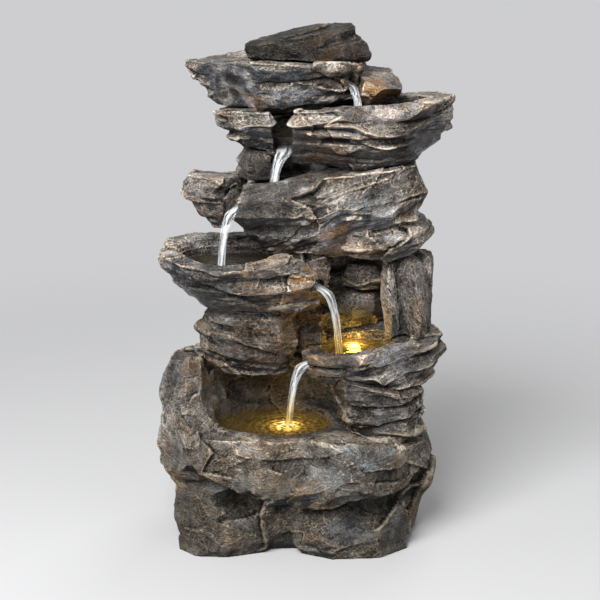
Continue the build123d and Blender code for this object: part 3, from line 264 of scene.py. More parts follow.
class SlateSettings(bpy.types.PropertyGroup):
    """Grain and colours of the slate."""

    grain: length_setting("Grain", "Edge of the small cubes that the stones are carved in", 0.0018, 0.001)
    base_grain: length_setting("Base grain", "The same for the large base stone", 0.0022, 0.001)
    warp: length_setting("Warp", "How far the stones' straight edges wander", 0.0065)
    dark: colour_setting("Dark slate", "Colour of the darkest bare slate", (0.03, 0.032, 0.036))
    middle: colour_setting("Slate", "Colour of most of the slate", (0.128, 0.131, 0.136))
    pale: colour_setting("Pale slate", "Colour of weathered faces", (0.36, 0.355, 0.348))
    blue: colour_setting("Blue slate", "Tint of the bluish patches", (0.82, 0.9, 1.0))
    tan: colour_setting("Tan", "Colour of the warm patches on the ridges", (0.38, 0.215, 0.095))
    edge: colour_setting("Veins", "Colour of the thin veins", (0.76, 0.62, 0.47))
    crest: colour_setting("Crests", "Colour brushed on the edges", (0.8, 0.68, 0.545))
    ochre: colour_setting("Ochre", "Colour of the mineral stains", (0.46, 0.205, 0.034))


class WaterSettings(bpy.types.PropertyGroup):
    """Water and lamps."""

    ripple: length_setting("Ripple", "Height of the rings where a stream lands", 0.0016)
    film: length_setting("Film", "Thickness of a falling stream", 0.0056)
    glow: colour_setting("Glow", "Colour of the lamps", (1.0, 0.58, 0.07))
    lamp_power: FloatProperty(
        name="Lamp power", description="Power of each lamp", default=0.21, unit="POWER")


class StageSettings(bpy.types.PropertyGroup):
    """Camera, floor and studio light."""

    camera: FloatVectorProperty(
        name="Camera", description="Where the camera stands",
        default=(0.0, -2.222, 1.0), subtype="TRANSLATION", unit="LENGTH")
    target: FloatVectorProperty(
        name="Target", description="What the camera looks at",
        default=(0.0, 0.0, 0.383), subtype="TRANSLATION", unit="LENGTH")
    lens: FloatProperty(name="Lens", description="Focal length in millimetres", default=87.1, unit="CAMERA")
    floor: colour_setting("Floor", "Colour of the floor", (0.69, 0.692, 0.7))
    backdrop: colour_setting("Backdrop", "Colour behind the floor", (0.615, 0.615, 0.63))


class FountainSettings(bpy.types.PropertyGroup):
    """All settings of the fountain."""

    slate: PointerProperty(type=SlateSettings)
    water: PointerProperty(type=WaterSettings)
    stage: PointerProperty(type=StageSettings)
    seed: IntProperty(name="Seed", description="Start of the repeatable noise", default=5)


def settings():
    return bpy.context.scene.slate_fountain


# Repeatable noise on whole arrays


def lattice(cell, seed):
    """A number from 0 to 1 for each whole-number cell: products with large odd numbers, then mixed."""
    c = cell.astype(np.int64).astype(np.uint32)
    h = c[..., 0] * np.uint32(0x9E3779B1) ^ c[..., 1] * np.uint32(0x85EBCA77)
    h ^= c[..., 2] * np.uint32(0xC2B2AE3D) ^ np.uint32((seed * 0x27D4EB2F) & 0xFFFFFFFF)
    h ^= h >> np.uint32(15)
    h *= np.uint32(0x2C1B3C6D)
    h ^= h >> np.uint32(12)
    h *= np.uint32(0x297A2D39)
    h ^= h >> np.uint32(15)
    return h.astype(np.float64) / 4294967295.0


def ease(t):
    """Goes from 0 to 1 with level ends: 3t^2 - 2t^3 on the clipped value."""
    t = np.clip(t, 0.0, 1.0)
    return t * t * (3.0 - 2.0 * t)


def soft_noise(p, size, seed, octaves=1, gain=0.5):
    """Smooth noise from -1 to 1: numbers at a cell's eight corners, eased between, in halving octaves."""
    total, share, weight = np.zeros(len(p)), 1.0, 0.0
    for octave in range(octaves):
        q = p * (2.0 ** octave / size)
        cell = np.floor(q)
        f = ease(q - cell)
        for corner in product((0, 1), repeat=3):
            c = np.array(corner)
            part = np.prod(np.where(c == 1, f, 1.0 - f), axis=1)
            total += share * part * lattice(cell + c, seed + 31 * octave)
        weight += share
        share *= gain
    return total / weight * 2.0 - 1.0


def facets(q, seed):
    """Broken faces: each point belongs to the nearest of scattered centres, one in each unit cell, and takes
    the height of a tilted plane through that centre, so that the faces are flat and meet in steps. Gives the
    height and a number from 0 to 1 for the face."""
    cell = np.floor(q)
    best = np.full(len(q), 99.0)
    home, away = np.zeros_like(q), np.zeros_like(q)
    for offset in product((-1, 0, 1), repeat=3):
        c = cell + np.array(offset)
        gap = q - c - 0.1 - 0.8 * np.stack([lattice(c, seed + k) for k in range(3)], axis=1)
        d = (gap ** 2).sum(1) + 0.3 * lattice(c, seed + 3)
        near = d < best
        best[near], home[near], away[near] = d[near], c[near], gap[near]
    tilt = np.stack([lattice(home, seed + 4 + k) for k in range(3)], axis=1) * 2.0 - 1.0
    return (away * tilt).sum(1) + 0.5 * (lattice(home, seed + 7) - 0.5), lattice(home, seed + 8)


def shelves(p, q, bed, reach, seed):
    """Shelves of slate: the height across the bedding, bent by slow noise, is cut into uneven beds. Each bed
    stands out to a sharp edge and falls back above it, by a strength that comes and goes along it. Gives
    the stand, the tone of the bed and the bent height."""
    s = q[:, 2] / bed + 0.9 * soft_noise(p, 0.2, seed) + 0.3 * soft_noise(p, 0.06, seed + 1)
    s = s + 0.4 * np.sin(1.7 * s + seed)
    k = np.floor(s)
    t = s - k
    cells = np.column_stack((k, np.zeros_like(k), np.zeros_like(k)))
    peak = 0.26 + 0.28 * lattice(cells, seed + 4)
    tooth = np.where(t < peak, t / peak, (1.0 - t) / (1.0 - peak))
    strength = ease(0.7 + 1.2 * soft_noise(np.column_stack((q[:, :2] / reach, 3.0 * k)), 1.0, seed + 2, 2))
    return strength * tooth - 0.28, lattice(cells, seed + 5), s * bed


# Meshes


def put(name, data):
    """A new object in the scene, at the origin."""
    obj = bpy.data.objects.new(name, data)
    bpy.context.scene.collection.objects.link(obj)
    return obj


def new_piece(name, mesh, material, body="fountain"):
    """A shown object that rides on a body and takes a finish."""
    obj = put(name, mesh)
    mesh.materials.clear()
    mesh.materials.append(material)
    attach(obj, body)
    return obj


def read(items, name, width=3, kind=float):
    """One row of numbers for each of a mesh's items."""
    values = np.empty(len(items) * width, dtype=kind)
    items.foreach_get(name, values)
    return values.reshape(-1, width)


def put_vertices(mesh, co):
    mesh.vertices.foreach_set("co", np.ascontiguousarray(co, dtype=np.float32).ravel())
    mesh.update()


def put_attributes(mesh, **columns):
    for name, values in columns.items():
        attribute = mesh.attributes.new(name, "FLOAT", "POINT")
        attribute.data.foreach_set("value", np.ascontiguousarray(values, dtype=np.float32))


def smoothed(mesh):
    mesh.polygons.foreach_set("use_smooth", np.ones(len(mesh.polygons), dtype=bool))
    return mesh


def relaxed(co, edges, rounds):
    """Each point moves half the way to the middle of its neighbours, so many times."""
    a, b = edges[:, 0], edges[:, 1]
    count = np.maximum(np.bincount(edges.ravel(), minlength=len(co)), 1.0)
    for _ in range(rounds):
        total = [np.bincount(a, column[b], len(co)) + np.bincount(b, column[a], len(co)) for column in co.T]
        co = 0.5 * co + 0.5 * np.stack(total, axis=1) / count[:, None]
    return co


def merged(mesh, gap, outward=False):
    """The mesh with points closer than the gap joined and, if asked, its faces turned outward."""
    bm = bmesh.new()
    bm.from_mesh(mesh)
    bmesh.ops.remove_doubles(bm, verts=bm.verts, dist=gap)
    if outward:
        bmesh.ops.recalc_face_normals(bm, faces=bm.faces)
    bm.to_mesh(mesh)
    bm.free()
    return mesh


def modified(mesh, kind, **values):
    """A new mesh, as one modifier leaves the old one, which is removed."""
    obj = put("unfinished", mesh)
    modifier = obj.modifiers.new("finish", kind)
    for key, value in values.items():
        setattr(modifier, key, value)
    bpy.context.view_layer.update()
    result = bpy.data.meshes.new_from_object(obj.evaluated_get(bpy.context.evaluated_depsgraph_get()))
    bpy.data.objects.remove(obj)
    bpy.data.meshes.remove(mesh)
    return result


def fine_copy(node, grain):
    """A copy of a CAD node's mesh, merged and cut into small even faces."""
    whole = merged(frame["nodes"][node].data.copy(), 1e-5)
    fine = modified(whole, "REMESH", mode="VOXEL", voxel_size=grain, use_smooth_shade=True)
    if len(fine.vertices) < 100:
        raise RuntimeError(f"{node} could not be cut into small faces")
    return fine


def thinned(mesh):
    """The mesh with its flattest triangles merged, where it has more triangles than the limit."""
    mesh.calc_loop_triangles()
    count = len(mesh.loop_triangles)
    if count <= TRIANGLE_LIMIT:
        return mesh
    return modified(mesh, "DECIMATE", ratio=TRIANGLE_LIMIT / count)


def grid_mesh(name, points, outward=False):
    """A mesh on a grid of points, rows by columns, with closed rows. Its UV map follows the grid."""
    rows, columns = points.shape[:2]
    u, v = np.meshgrid(np.arange(rows - 1), np.arange(columns), indexing="ij")
    here, there, after = u * columns, (u + 1) * columns, (v + 1) % columns
    faces = np.stack((here + v, there + v, there + after, here + after), axis=-1).reshape(-1, 4)
    corners = ((u, v), (u + 1, v), (u + 1, v + 1), (u, v + 1))
    uv = np.stack([np.stack(corner, -1) for corner in corners], axis=-2) / np.array((rows - 1, columns))
    mesh = bpy.data.meshes.new(name)
    mesh.from_pydata(points.reshape(-1, 3).tolist(), [], faces.tolist())
    layer = mesh.uv_layers.new(name="flow")
    layer.data.foreach_set("uv", np.ascontiguousarray(uv, dtype=np.float32).ravel())
    smoothed(mesh).update()
    return merged(mesh, 1e-7, outward)


def disc_mesh(name, centre, rings):
    """A round mesh from its centre and rings of points about it."""
    middle = np.array([[centre]]).repeat(rings.shape[1], 1)
    return grid_mesh(name, np.concatenate((middle, rings)))


# Carving


def kept(p, margin):
    """How free each point is to move: 0 in the zones that stay as built, 1 beyond the margin outside."""
    free = np.ones(len(p))
    for x, y, radius, low, high in KEPT_BORES:
        past = np.maximum(low - p[:, 2], p[:, 2] - high)
        away = np.maximum(np.hypot(p[:, 0] - x, p[:, 1] - y) - radius, past)
        free = np.minimum(free, ease(away / margin))
    for low, high in KEPT_BOXES:
        away = np.maximum(np.array(low) - p, p - np.array(high)).max(1)
        free = np.minimum(free, ease(away / margin))
    return free


def wetness(p):
    """1 where water runs or stands: near a stream's way and its landing, in the basins up to just over the
    water; and up the walls behind the lit pools, where the darkening is painted shade as well as splashed
    water."""
    wet = np.zeros(len(p))
    for inner, lip, landing, wide, _ in STREAMS.values():
        for a, b, reach in ((inner, lip, wide), (lip, lip, 0.8 * wide), (landing, landing, 1.6 * wide)):
            a, b = np.array(a), np.array(b)
            along = np.clip(((p - a) @ (b - a)) / max(((b - a) ** 2).sum(), 1e-9), 0.0, 1.0)
            away = np.linalg.norm(p - a - along[:, None] * (b - a), axis=1)
            wet = np.maximum(wet, 1.0 - ease((away - 0.5 * reach) / reach))
    for (x, y), (rx, ry), level, _, glow in POOLS.values():
        r = np.hypot((p[:, 0] - x) / (rx + WET_RIM), (p[:, 1] - y) / (ry + WET_RIM))
        above = p[:, 2] - level
        basin = (1.0 - ease((r - 0.95) / 0.12)) * (1.0 - ease((above - 0.004) / 0.014))
        # Behind the lit pools the walls are marked up to a height, which paints shade in the alcove besides
        # the splash
        splash_and_shade = (1.0 - ease((r - 1.05) / 0.25)) * (1.0 - ease(above / SPLASH_SHADE_HEIGHT))
        splash_and_shade *= glow * (p[:, 1] > y - 0.5 * ry)
        wet = np.maximum(wet, np.maximum(basin, splash_and_shade) * (above > -BASIN_DEPTH))
    return wet


def bed_axes(up):
    """Three square axes as columns: two along the bed and the last across it."""
    up = np.array(up) / np.linalg.norm(up)
    side = np.cross((0.0, 1.0, 0.0), up)
    side /= np.linalg.norm(side)
    return np.stack((side, np.cross(up, side), up), axis=1)


def chiselled(node, p):
    """The points after the stone's own cuts: those in front of a flat cut go back to its plane, and those
    inside the ball of a flake scar go out to the ball, which leaves a shallow dish with a sharp rim. Gives
    also how fresh each point is, 1 in a scar and half that in a flat cut."""
    fresh = np.zeros(len(p))
    for stone, point, way, sunk, deepest in CUTS:
        if stone == node:
            way = np.array(way) / np.linalg.norm(way)
            over = (p - np.array(point)) @ way + sunk
            fresh = np.maximum(fresh, 0.5 * ((over > 0.0) & (over < deepest)))
            p = p - (np.clip(over, 0.0, deepest) * (over < CUT_REACH))[:, None] * way
    for stone, middle, way, half, depth in SCARS:
        if stone == node:
            radius = (half ** 2 + depth ** 2) / (2.0 * depth)
            centre = np.array(middle) + (radius - depth) * np.array(way) / np.linalg.norm(way)
            out = p - centre
            away = np.linalg.norm(out, axis=1)
            near = (away < radius) & (np.linalg.norm(p - np.array(middle), axis=1) < 1.5 * half)
            fresh = np.maximum(fresh, near)
            p = np.where(near[:, None], centre + radius * out / np.maximum(away, 1e-9)[:, None], p)
    return p, fresh


def ledges(node, p, n):
    """How far each point falls back under the ledges: at once below a ledge's line, then less and less down
    to the end of its height, on the sides that look forward."""
    back = np.zeros(len(p))
    for stone, line, depth, fade in LEDGES:
        if stone == node:
            x, z = np.array(line).T
            below = np.interp(p[:, 0], x, z) + 0.004 * soft_noise(p, 0.03, 71, 2) - p[:, 2]
            ends = ease((p[:, 0] - x[0]) / LEDGE_END) * ease((x[-1] - p[:, 0]) / LEDGE_END)
            lip = ease(below / LEDGE_LIP) * (1.0 - ease(below / fade))
            back += depth * ends * lip * ease(-2.5 * n[:, 1])
    return back


def carve(node, spec, grain, warp, seed):
    """Slate from a plain solid: the whole is bent by slow noise, then each point moves along its normal by
    shelves on the sides, broken faces all over, ledges and fine noise, and is cut. Points in the kept zones
    don't move."""
    bedding, bed, shelf, face, depth, bright, own = spec
    own = own * 101 + seed
    mesh = fine_copy(node, grain)
    edges = read(mesh.edges, "vertices", 2, np.int64)
    p = read(mesh.vertices, "co")
    free = kept(p, KEPT_MARGIN)
    p = p + free[:, None] * (relaxed(p, edges, 5) - p)
    bend = np.stack([soft_noise(p, 0.085, seed + 7 + k, 2) for k in range(3)], axis=1)
    bend += 1.3 * np.stack([soft_noise(p, 0.19, seed + 17 + k) for k in range(3)], axis=1)
    bend[:, 2] *= 0.8
    bent = p + warp * free[:, None] * bend
    put_vertices(mesh, bent)
    n = relaxed(read(mesh.vertex_normals, "vector"), edges, 5)
    n /= np.maximum(np.linalg.norm(n, axis=1), 1e-9)[:, None]
    axes = bed_axes(bedding)
    q = bent @ axes
    lateral = ease((1.0 - (n @ axes[:, 2]) ** 2) * 1.6 - 0.15)
    lean = 0.38 * (1.0 if own % 2 else -1.0)
    leaning = bent @ bed_axes(np.array(bedding) + np.array((lean, -0.2, 0.0)))
    stand, tone, strata = shelves(bent, q, bed, 0.11, own)
    thin, thin_tone, _ = shelves(bent, q, bed * 0.3, 0.05, own + 40)
    large, large_tone = facets(leaning / (1.5 * face * np.array((1.0, 1.0, 0.6))), own + 60)
    small, small_tone = facets(q / (0.55 * face * np.array((1.0, 1.0, 0.5))), own + 70)
    chips = facets(leaning / np.array((0.016, 0.016, 0.011)), own + 75)[0]
    d = lateral * shelf * (stand + 0.16 * thin)
    d += depth * (large + 0.36 * small) + 0.001 * chips
    d -= ledges(node, bent, n)
    wet = wetness(bent)
    d = np.clip(d, -DEEPEST_CUT, HIGHEST_RIDGE - WET_SINK * ease(2.0 * wet))
    carved, fresh = chiselled(node, relaxed(bent + d[:, None] * n, edges, 1))
    carved += (0.0007 * soft_noise(bent, 0.009, own + 80, 2, 0.65))[:, None] * n
    carved = bent + free[:, None] * (carved - bent)
    carved[:, 2] = np.maximum(carved[:, 2], 0.0)
    put_vertices(mesh, carved)
    n = read(mesh.vertex_normals, "vector")
    near = ((carved - relaxed(carved, edges, 2)) * n).sum(1)
    far = ((carved - relaxed(carved, edges, 24)) * n).sum(1)
    # Painted shade near the floor: stones darken below 0.19 m, down to 0.55 of their tone at 0.05 m
    floor_shade = 0.55 + 0.45 * ease((carved[:, 2] - 0.05) / 0.14)
    beds = 0.82 + 0.2 * tone + 0.12 * thin_tone
    faces = 0.74 + 0.34 * large_tone + 0.22 * small_tone
    rust = np.zeros(len(carved))
    for place, reach, strength in STAINS:
        rust = np.maximum(rust, strength * np.exp(-(((carved - np.array(place)) ** 2).sum(1)) / reach ** 2))
    # swell tells how far a point stands out; the slate finish uses it and edge to paint shade in hollows,
    # creases and under the ledges
    put_attributes(
        mesh, edge=np.clip(near / (0.3 * grain), -1.0, 1.0),
        swell=np.clip(0.6 * far / 0.003 + 0.5 * free * (d + 0.002) / 0.008, -1.0, 1.0),
        tone=bright * floor_shade * beds * faces, up=0.5 + 0.5 * relaxed(n, edges, 2)[:, 2], wet=wet,
        fresh=relaxed(fresh[:, None], edges, 3)[:, 0], strata=strata + 0.01 * own, rust=rust)
    return thinned(smoothed(mesh))


# Materials


def opaque(colour):
    return (*colour, 1.0)


class Nodes:
    """A node tree, with short calls that add a node to it and give the node's output."""

    def __init__(self, owner):
        owner.use_nodes = True
        self.tree = owner.node_tree

    def find(self, kind):
        return next(n for n in self.tree.nodes if n.type == kind)

    def feed(self, node, inputs):
        """Links outputs to a node's inputs, or sets plain values there."""
        for key, source in inputs.items():
            if hasattr(source, "is_output"):
                self.tree.links.new(source, node.inputs[key])
            else:
                node.inputs[key].default_value = source

    def add(self, kind, inputs, output, **values):
        node = self.tree.nodes.new("ShaderNode" + kind)
        for key, value in values.items():
            setattr(node, key, value)
        self.feed(node, inputs)
        return node.outputs[output]

    def math(self, operation, a, b=0.0):
        return self.add("Math", {0: a, 1: b}, "Value", operation=operation)


class Finish(Nodes):
    """A material's nodes: numbers, vectors, patterns and colours that go into its shader."""

    def __init__(self, name):
        self.material = bpy.data.materials.new(name)
        super().__init__(self.material)
        self.shader = self.find("BSDF_PRINCIPLED")
        self.place = self.add("TexCoord", {}, "Object")

    def times(self, a, b):
        return self.math("MULTIPLY", a, b)

    def plus(self, a, b):
        return self.math("ADD", a, b)

    def vector(self, operation, *inputs, output="Vector"):
        return self.add("VectorMath", dict(enumerate(inputs)), output, operation=operation)

    def parts(self, vector):
        """The vector's X, Y and Z."""
        return self.add("SeparateXYZ", {"Vector": vector}, "X").node.outputs

    def noise(self, scale, detail=4.0, rough=0.55, place=None, distortion=0.0):
        inputs = {"Vector": place or self.place, "Scale": scale, "Detail": detail, "Roughness": rough}
        return self.add("TexNoise", {**inputs, "Distortion": distortion}, "Fac")

    def cells(self, scale, place):
        """Distance to the nearest edge between irregular cells."""
        inputs = {"Vector": place, "Scale": scale}
        return self.add("TexVoronoi", inputs, "Distance", feature="DISTANCE_TO_EDGE")

    def squiggles(self, scale, detail, width, place=None):
        """Thin winding lines: where the noise is within a small width of its middle."""
        middle = self.math("SUBTRACT", self.noise(scale, detail, 0.6, place), 0.5)
        return self.span(self.math("ABSOLUTE", middle), 0.0, width, 1.0, 0.0)

    def stretched(self, scale, place):
        return self.add("Mapping", {"Vector": place, "Scale": scale}, "Vector")

    def along(self, height, fine, coarse):
        """Places that follow the bent beds: fine steps across them, coarse ones along."""
        across = self.add("CombineXYZ", {"Z": self.times(height, fine)}, "Vector")
        return self.vector("ADD", self.vector("MULTIPLY", self.place, (coarse,) * 3), across)

    def wandering(self, amount, scale, place=None):
        """The place, pushed about by coloured noise."""
        noise = self.add("TexNoise", {"Vector": self.place, "Scale": scale}, "Color")
        return self.vector("MULTIPLY_ADD", noise, (amount,) * 3, place or self.place)

    def span(self, value, low, high, to_low=0.0, to_high=1.0):
        """Goes smoothly between two values as the input goes from low to high."""
        inputs = {"Value": value, "From Min": low, "From Max": high, "To Min": to_low, "To Max": to_high}
        return self.add("MapRange", inputs, "Result", clamp=True, interpolation_type="SMOOTHSTEP")

    def mix(self, share, a, b, blend="MIX"):
        return self.add("Mix", {"Factor": share, 6: a, 7: b}, 2, data_type="RGBA", blend_type=blend)

    def shade(self, a, b):
        """A colour times another colour or a value."""
        return self.mix(1.0, a, b, "MULTIPLY")

    def ramp(self, value, *stops):
        colour = self.add("ValToRGB", {"Fac": value}, "Color")
        elements = colour.node.color_ramp.elements
        while len(elements) < len(stops):
            elements.new(0.5)
        for element, (at, stop) in zip(elements, stops):
            element.position = at
            element.color = opaque(stop)
        return colour

    def attribute(self, name):
        return self.add("Attribute", {}, "Fac", attribute_name=name)

    def bump(self, height, distance, strength=1.0):
        return self.add("Bump", {"Height": height, "Distance": distance, "Strength": strength}, "Normal")

    def set(self, **sockets):
        self.feed(self.shader, {key.replace("_", " "): value for key, value in sockets.items()})
        return self.material


def slate(name, cfg):
    """Slate: grey noise in three tones with blue patches, with painted shade where it is undercut and a
    painted highlight on faces that look up. Faces that look up or out carry a network of thin tan veins,
    fewer on the undersides as painted shade. Edges are pale with brushed paint and painted highlight,
    hollows dark with painted shade, some places stained, some wet, and the walls behind the lit pools
    darkened with painted shade."""
    f = Finish(name)
    edge, tone, up = f.attribute("edge"), f.attribute("tone"), f.attribute("up")
    wet, rust, fresh = f.attribute("wet"), f.attribute("rust"), f.attribute("fresh")
    strata, swell = f.attribute("strata"), f.attribute("swell")
    # Bare stone: three greys, blue patches, painted shade on the undersides, a painted highlight on faces
    # that look up, thin layers
    patch = f.noise(30.0, 7.0, 0.66, distortion=0.3)
    grain = f.noise(420.0, 4.0, 0.75)
    grey = f.ramp(patch, (0.33, cfg.dark), (0.49, cfg.middle), (0.66, cfg.pale))
    grey = f.mix(f.span(f.noise(7.0), 0.44, 0.6), grey, f.shade(grey, opaque(cfg.blue)))
    open_face = f.span(f.plus(up, f.span(patch, 0.35, 0.65, -0.06, 0.06)), 0.16, 0.42)
    # Painted shade: this dark blue-grey colour is mixed in on the undersides, where open_face is low
    under = f.ramp(patch, (0.36, (0.02, 0.022, 0.026)), (0.64, (0.082, 0.088, 0.1)))
    grey = f.mix(open_face, under, grey)
    # Painted highlight: faces that look up are made up to a fifth lighter, as if lit from above
    grey = f.shade(grey, f.span(up, 0.5, 0.9, 1.0, 1.2))
    grey = f.shade(grey, f.span(grain, 0.3, 0.7, 0.45, 1.5))
    laminae = f.noise(1.0, 4.0, 0.65, f.along(strata, 330.0, 16.0))
    grey = f.mix(f.times(fresh, 0.8), grey, f.shade(grey, (1.45, 1.5, 1.58, 1.0)))
    layered = f.shade(grey, f.span(laminae, 0.34, 0.66, 0.3, 1.8))
    grey = f.mix(f.span(open_face, 0.2, 1.0, 1.0, 0.5), grey, layered)
    # Veins: winding lines and two sizes of cracked cells, dense in patches, with pits between
    crumple = f.cells(1.0, f.wandering(1.7, 70.0, f.along(strata, 95.0, 112.0)))
    crumbs = f.cells(1.0, f.wandering(2.4, 110.0, f.along(strata, 150.0, 190.0)))
    lines = f.math("MAXIMUM", f.squiggles(66.0, 2.0, 0.014), f.span(crumple, 0.02, 0.11, 1.0, 0.0))
    lines = f.math("MAXIMUM", lines, f.span(crumbs, 0.02, 0.13, 0.42, 0.0))
    dense = f.span(f.noise(21.0, 4.0, 0.6), 0.38, 0.58, 0.45, 0.9)
    # Few veins on faces that look down, which keeps them dark as painted shade
    dense = f.times(f.span(open_face, 0.3, 1.0, 0.06, 0.95), dense)
    dense = f.times(dense, f.span(fresh, 0.0, 1.0, 1.0, 0.6))
    pits = f.span(f.noise(170.0, 3.0, 0.6), 0.38, 0.48, 1.0, 0.0)
    grey = f.mix(f.times(pits, dense), grey, f.shade(grey, (0.24, 0.24, 0.24, 1.0)))
    stone = f.mix(f.times(lines, dense), grey, opaque(cfg.edge))
    # Colour on top: warm ridges, ochre stains, brushed crests that are partly painted highlight, dark splits
    warm = f.times(f.span(swell, 0.05, 0.6), f.span(f.noise(11.0, 4.0, 0.6), 0.46, 0.58, 0.0, 0.66))
    stone = f.mix(f.times(warm, f.span(grain, 0.35, 0.6)), stone, opaque(cfg.tan))
    streaks = f.noise(1.0, 4.0, 0.65, f.along(strata, 110.0, 24.0))
    stain = f.times(rust, f.span(streaks, 0.43, 0.56, 0.05, 1.0))
    stain = f.times(stain, f.span(grain, 0.34, 0.6, 0.25, 1.0))
    stone = f.mix(stain, stone, opaque(cfg.ochre))
    # Brushed crests: pale paint on sharp edges, stronger on edges that look up, so partly a painted
    # highlight
    brushed = f.times(f.span(edge, 0.22, 0.55), f.span(f.noise(75.0, 4.0, 0.7), 0.36, 0.56, 0.32, 1.0))
    brushed = f.times(brushed, f.span(up, 0.2, 0.55, 0.3, 1.0))
    stone = f.mix(brushed, stone, opaque(cfg.crest))
    split = f.squiggles(1.0, 3.0, 0.013, f.along(strata, 95.0, 15.0))
    # Light and dark: each bed and face, with painted shade near the floor, large patches, an olive tint
    # towards the bottom, painted shade in creases and hollows, wet places, and painted shade behind the lit
    # pools
    # An olive tint towards the bottom
    low_tint = f.span(f.parts(f.place)["Z"], 0.08, 0.3, 1.0, 0.0)
    for light in (tone, f.mix(low_tint, (1.0, 1.0, 1.0, 1.0), (1.01, 0.99, 0.91, 1.0)),
                  f.span(f.noise(15.0, 6.0, 0.62), 0.36, 0.64, 0.68, 1.28),
                  f.span(split, 0.0, 1.0, 1.0, 0.25),
                  # Painted shade: creases, hollows and recesses under the ledges are darkened, ridges made a
                  # little lighter as a painted highlight
                  f.span(edge, -0.7, -0.08, 0.25, 1.0), f.span(swell, -0.85, 0.45, 0.26, 1.08),
                  # Wet stone is darker, and behind the lit pools this darkening is painted shade
                  f.span(wet, 0.0, 1.0, 1.0, 0.4)):
        stone = f.shade(stone, light)
    height = f.times(grain, 0.24)
    for layer, share in ((patch, 0.4), (lines, 0.46), (laminae, 0.26), (split, -0.22)):
        height = f.plus(height, f.times(layer, share))
    return f.set(Base_Color=stone, Roughness=f.span(wet, 0.1, 0.9, 0.62, 0.22),
                 Specular_IOR_Level=f.span(wet, 0.1, 0.9, 0.16, 0.6), Normal=f.bump(height, 0.0048))


def stream_water(name, foot):
    """Falling water: clear, with white streaks along the flow that are partly white water and partly painted
    highlights. Near its foot it takes the colour given, which for the streams into the lit pools is the
    lamps' gold light painted on.
    """
    f = Finish(name)
    flow = f.add("UVMap", {}, "UV", uv_map="flow")
    # White streaks: where they are opaque the near-white colour shows, partly white water and partly painted
    # highlights
    streak = f.noise(1.0, 4.0, 0.6, f.stretched((2.0, 11.0, 1.0), flow), 0.5)
    beads = f.noise(1.0, 3.0, 0.6, f.stretched((14.0, 30.0, 1.0), flow))
    white = f.plus(f.times(streak, 0.82), f.times(beads, 0.18))
    down = f.parts(flow)["X"]
    alpha = f.times(f.span(white, 0.46, 0.59, 0.07, 0.86), f.span(down, 0.06, 0.2, 0.15, 1.0))
    return f.set(Base_Color=f.mix(f.span(down, 0.6, 0.98), CLEAR_WATER, foot), Roughness=0.05, IOR=WATER_IOR,
                 Alpha=alpha, Normal=f.bump(white, 0.0032), Specular_IOR_Level=1.0)


def still_water():
    """Standing water without a lamp: dark and glossy."""
    f = Finish("still_water")
    return f.set(Base_Color=(0.05, 0.042, 0.024, 1.0), Roughness=0.04, IOR=WATER_IOR, Alpha=0.6,
                 Normal=f.bump(f.noise(75.0, 3.0, 0.6), 0.002, 0.6))


def lit_water(name, glow, centre, landing, reach):
    """Standing water over a lamp: it glows gold, fading outward, in flickering cells and in rings round the
    place where a stream lands, with a pale core."""
    f = Finish(name)
    away = f.vector("DISTANCE", f.place, centre, output="Value")
    round_landing = f.times(f.vector("DISTANCE", f.place, landing, output="Value"), 520.0)
    near = f.span(away, 0.0, reach, 1.0, 0.0)
    core = f.span(away, 0.0, 0.34 * reach, 1.0, 0.0)
    rings = f.span(f.math("SINE", round_landing), -1.0, 1.0, 0.35, 1.0)
    flicker = f.span(f.cells(95.0, f.wandering(0.016, 45.0)), 0.02, 0.24, 1.5, 0.25)
    strength = f.times(f.times(near, near), f.times(flicker, 0.55))
    strength = f.plus(strength, f.times(f.times(core, flicker), 4.4))
    return f.set(Base_Color=(0.07, 0.045, 0.01, 1.0), Roughness=0.05, IOR=WATER_IOR, Alpha=0.55,
                 Emission_Color=f.mix(f.times(core, core), opaque(glow), (1.0, 0.8, 0.34, 1.0)),
                 Emission_Strength=f.times(strength, rings),
                 Normal=f.bump(f.noise(75.0, 3.0, 0.6), 0.002, 0.8))


def moulded(name, colour, rough, scale, depth, metal, spread):
    """Moulded or cast finish: one colour with a fine spread, a soft grain and slightly uneven gloss."""
    f = Finish(name)
    grain = f.noise(scale, 4.0, 0.6)
    darker = opaque(c * (1.0 - spread) for c in colour)
    lighter = opaque(min(1.0, c * (1.0 + spread)) for c in colour)
    return f.set(Base_Color=f.mix(f.span(f.noise(40.0, 4.0, 0.6), 0.3, 0.7), darker, lighter),
                 Roughness=f.span(grain, 0.3, 0.7, rough * 0.8, min(1.0, rough * 1.2)),
                 Metallic=metal, Normal=f.bump(grain, depth, 0.6))


def lit_lens(cfg):
    """Frosted lens with the lamp behind it."""
    f = Finish("lit_lens")
    frost = f.noise(700.0, 3.0, 0.6)
    return f.set(Base_Color=f.mix(f.span(frost, 0.3, 0.7), (0.9, 0.8, 0.6, 1.0), (1.0, 0.9, 0.7, 1.0)),
                 Roughness=0.3, Emission_Color=opaque(cfg.glow), Emission_Strength=6.0,
                 Normal=f.bump(frost, 0.0003, 0.5))


def hose_plastic():
    """Clear hose: milky and see-through."""
    f = Finish("clear_hose")
    haze = f.mix(f.noise(60.0, 3.0, 0.5), (0.62, 0.66, 0.66, 1.0), (0.78, 0.82, 0.82, 1.0))
    return f.set(Base_Color=haze, Roughness=0.18, Alpha=0.6)


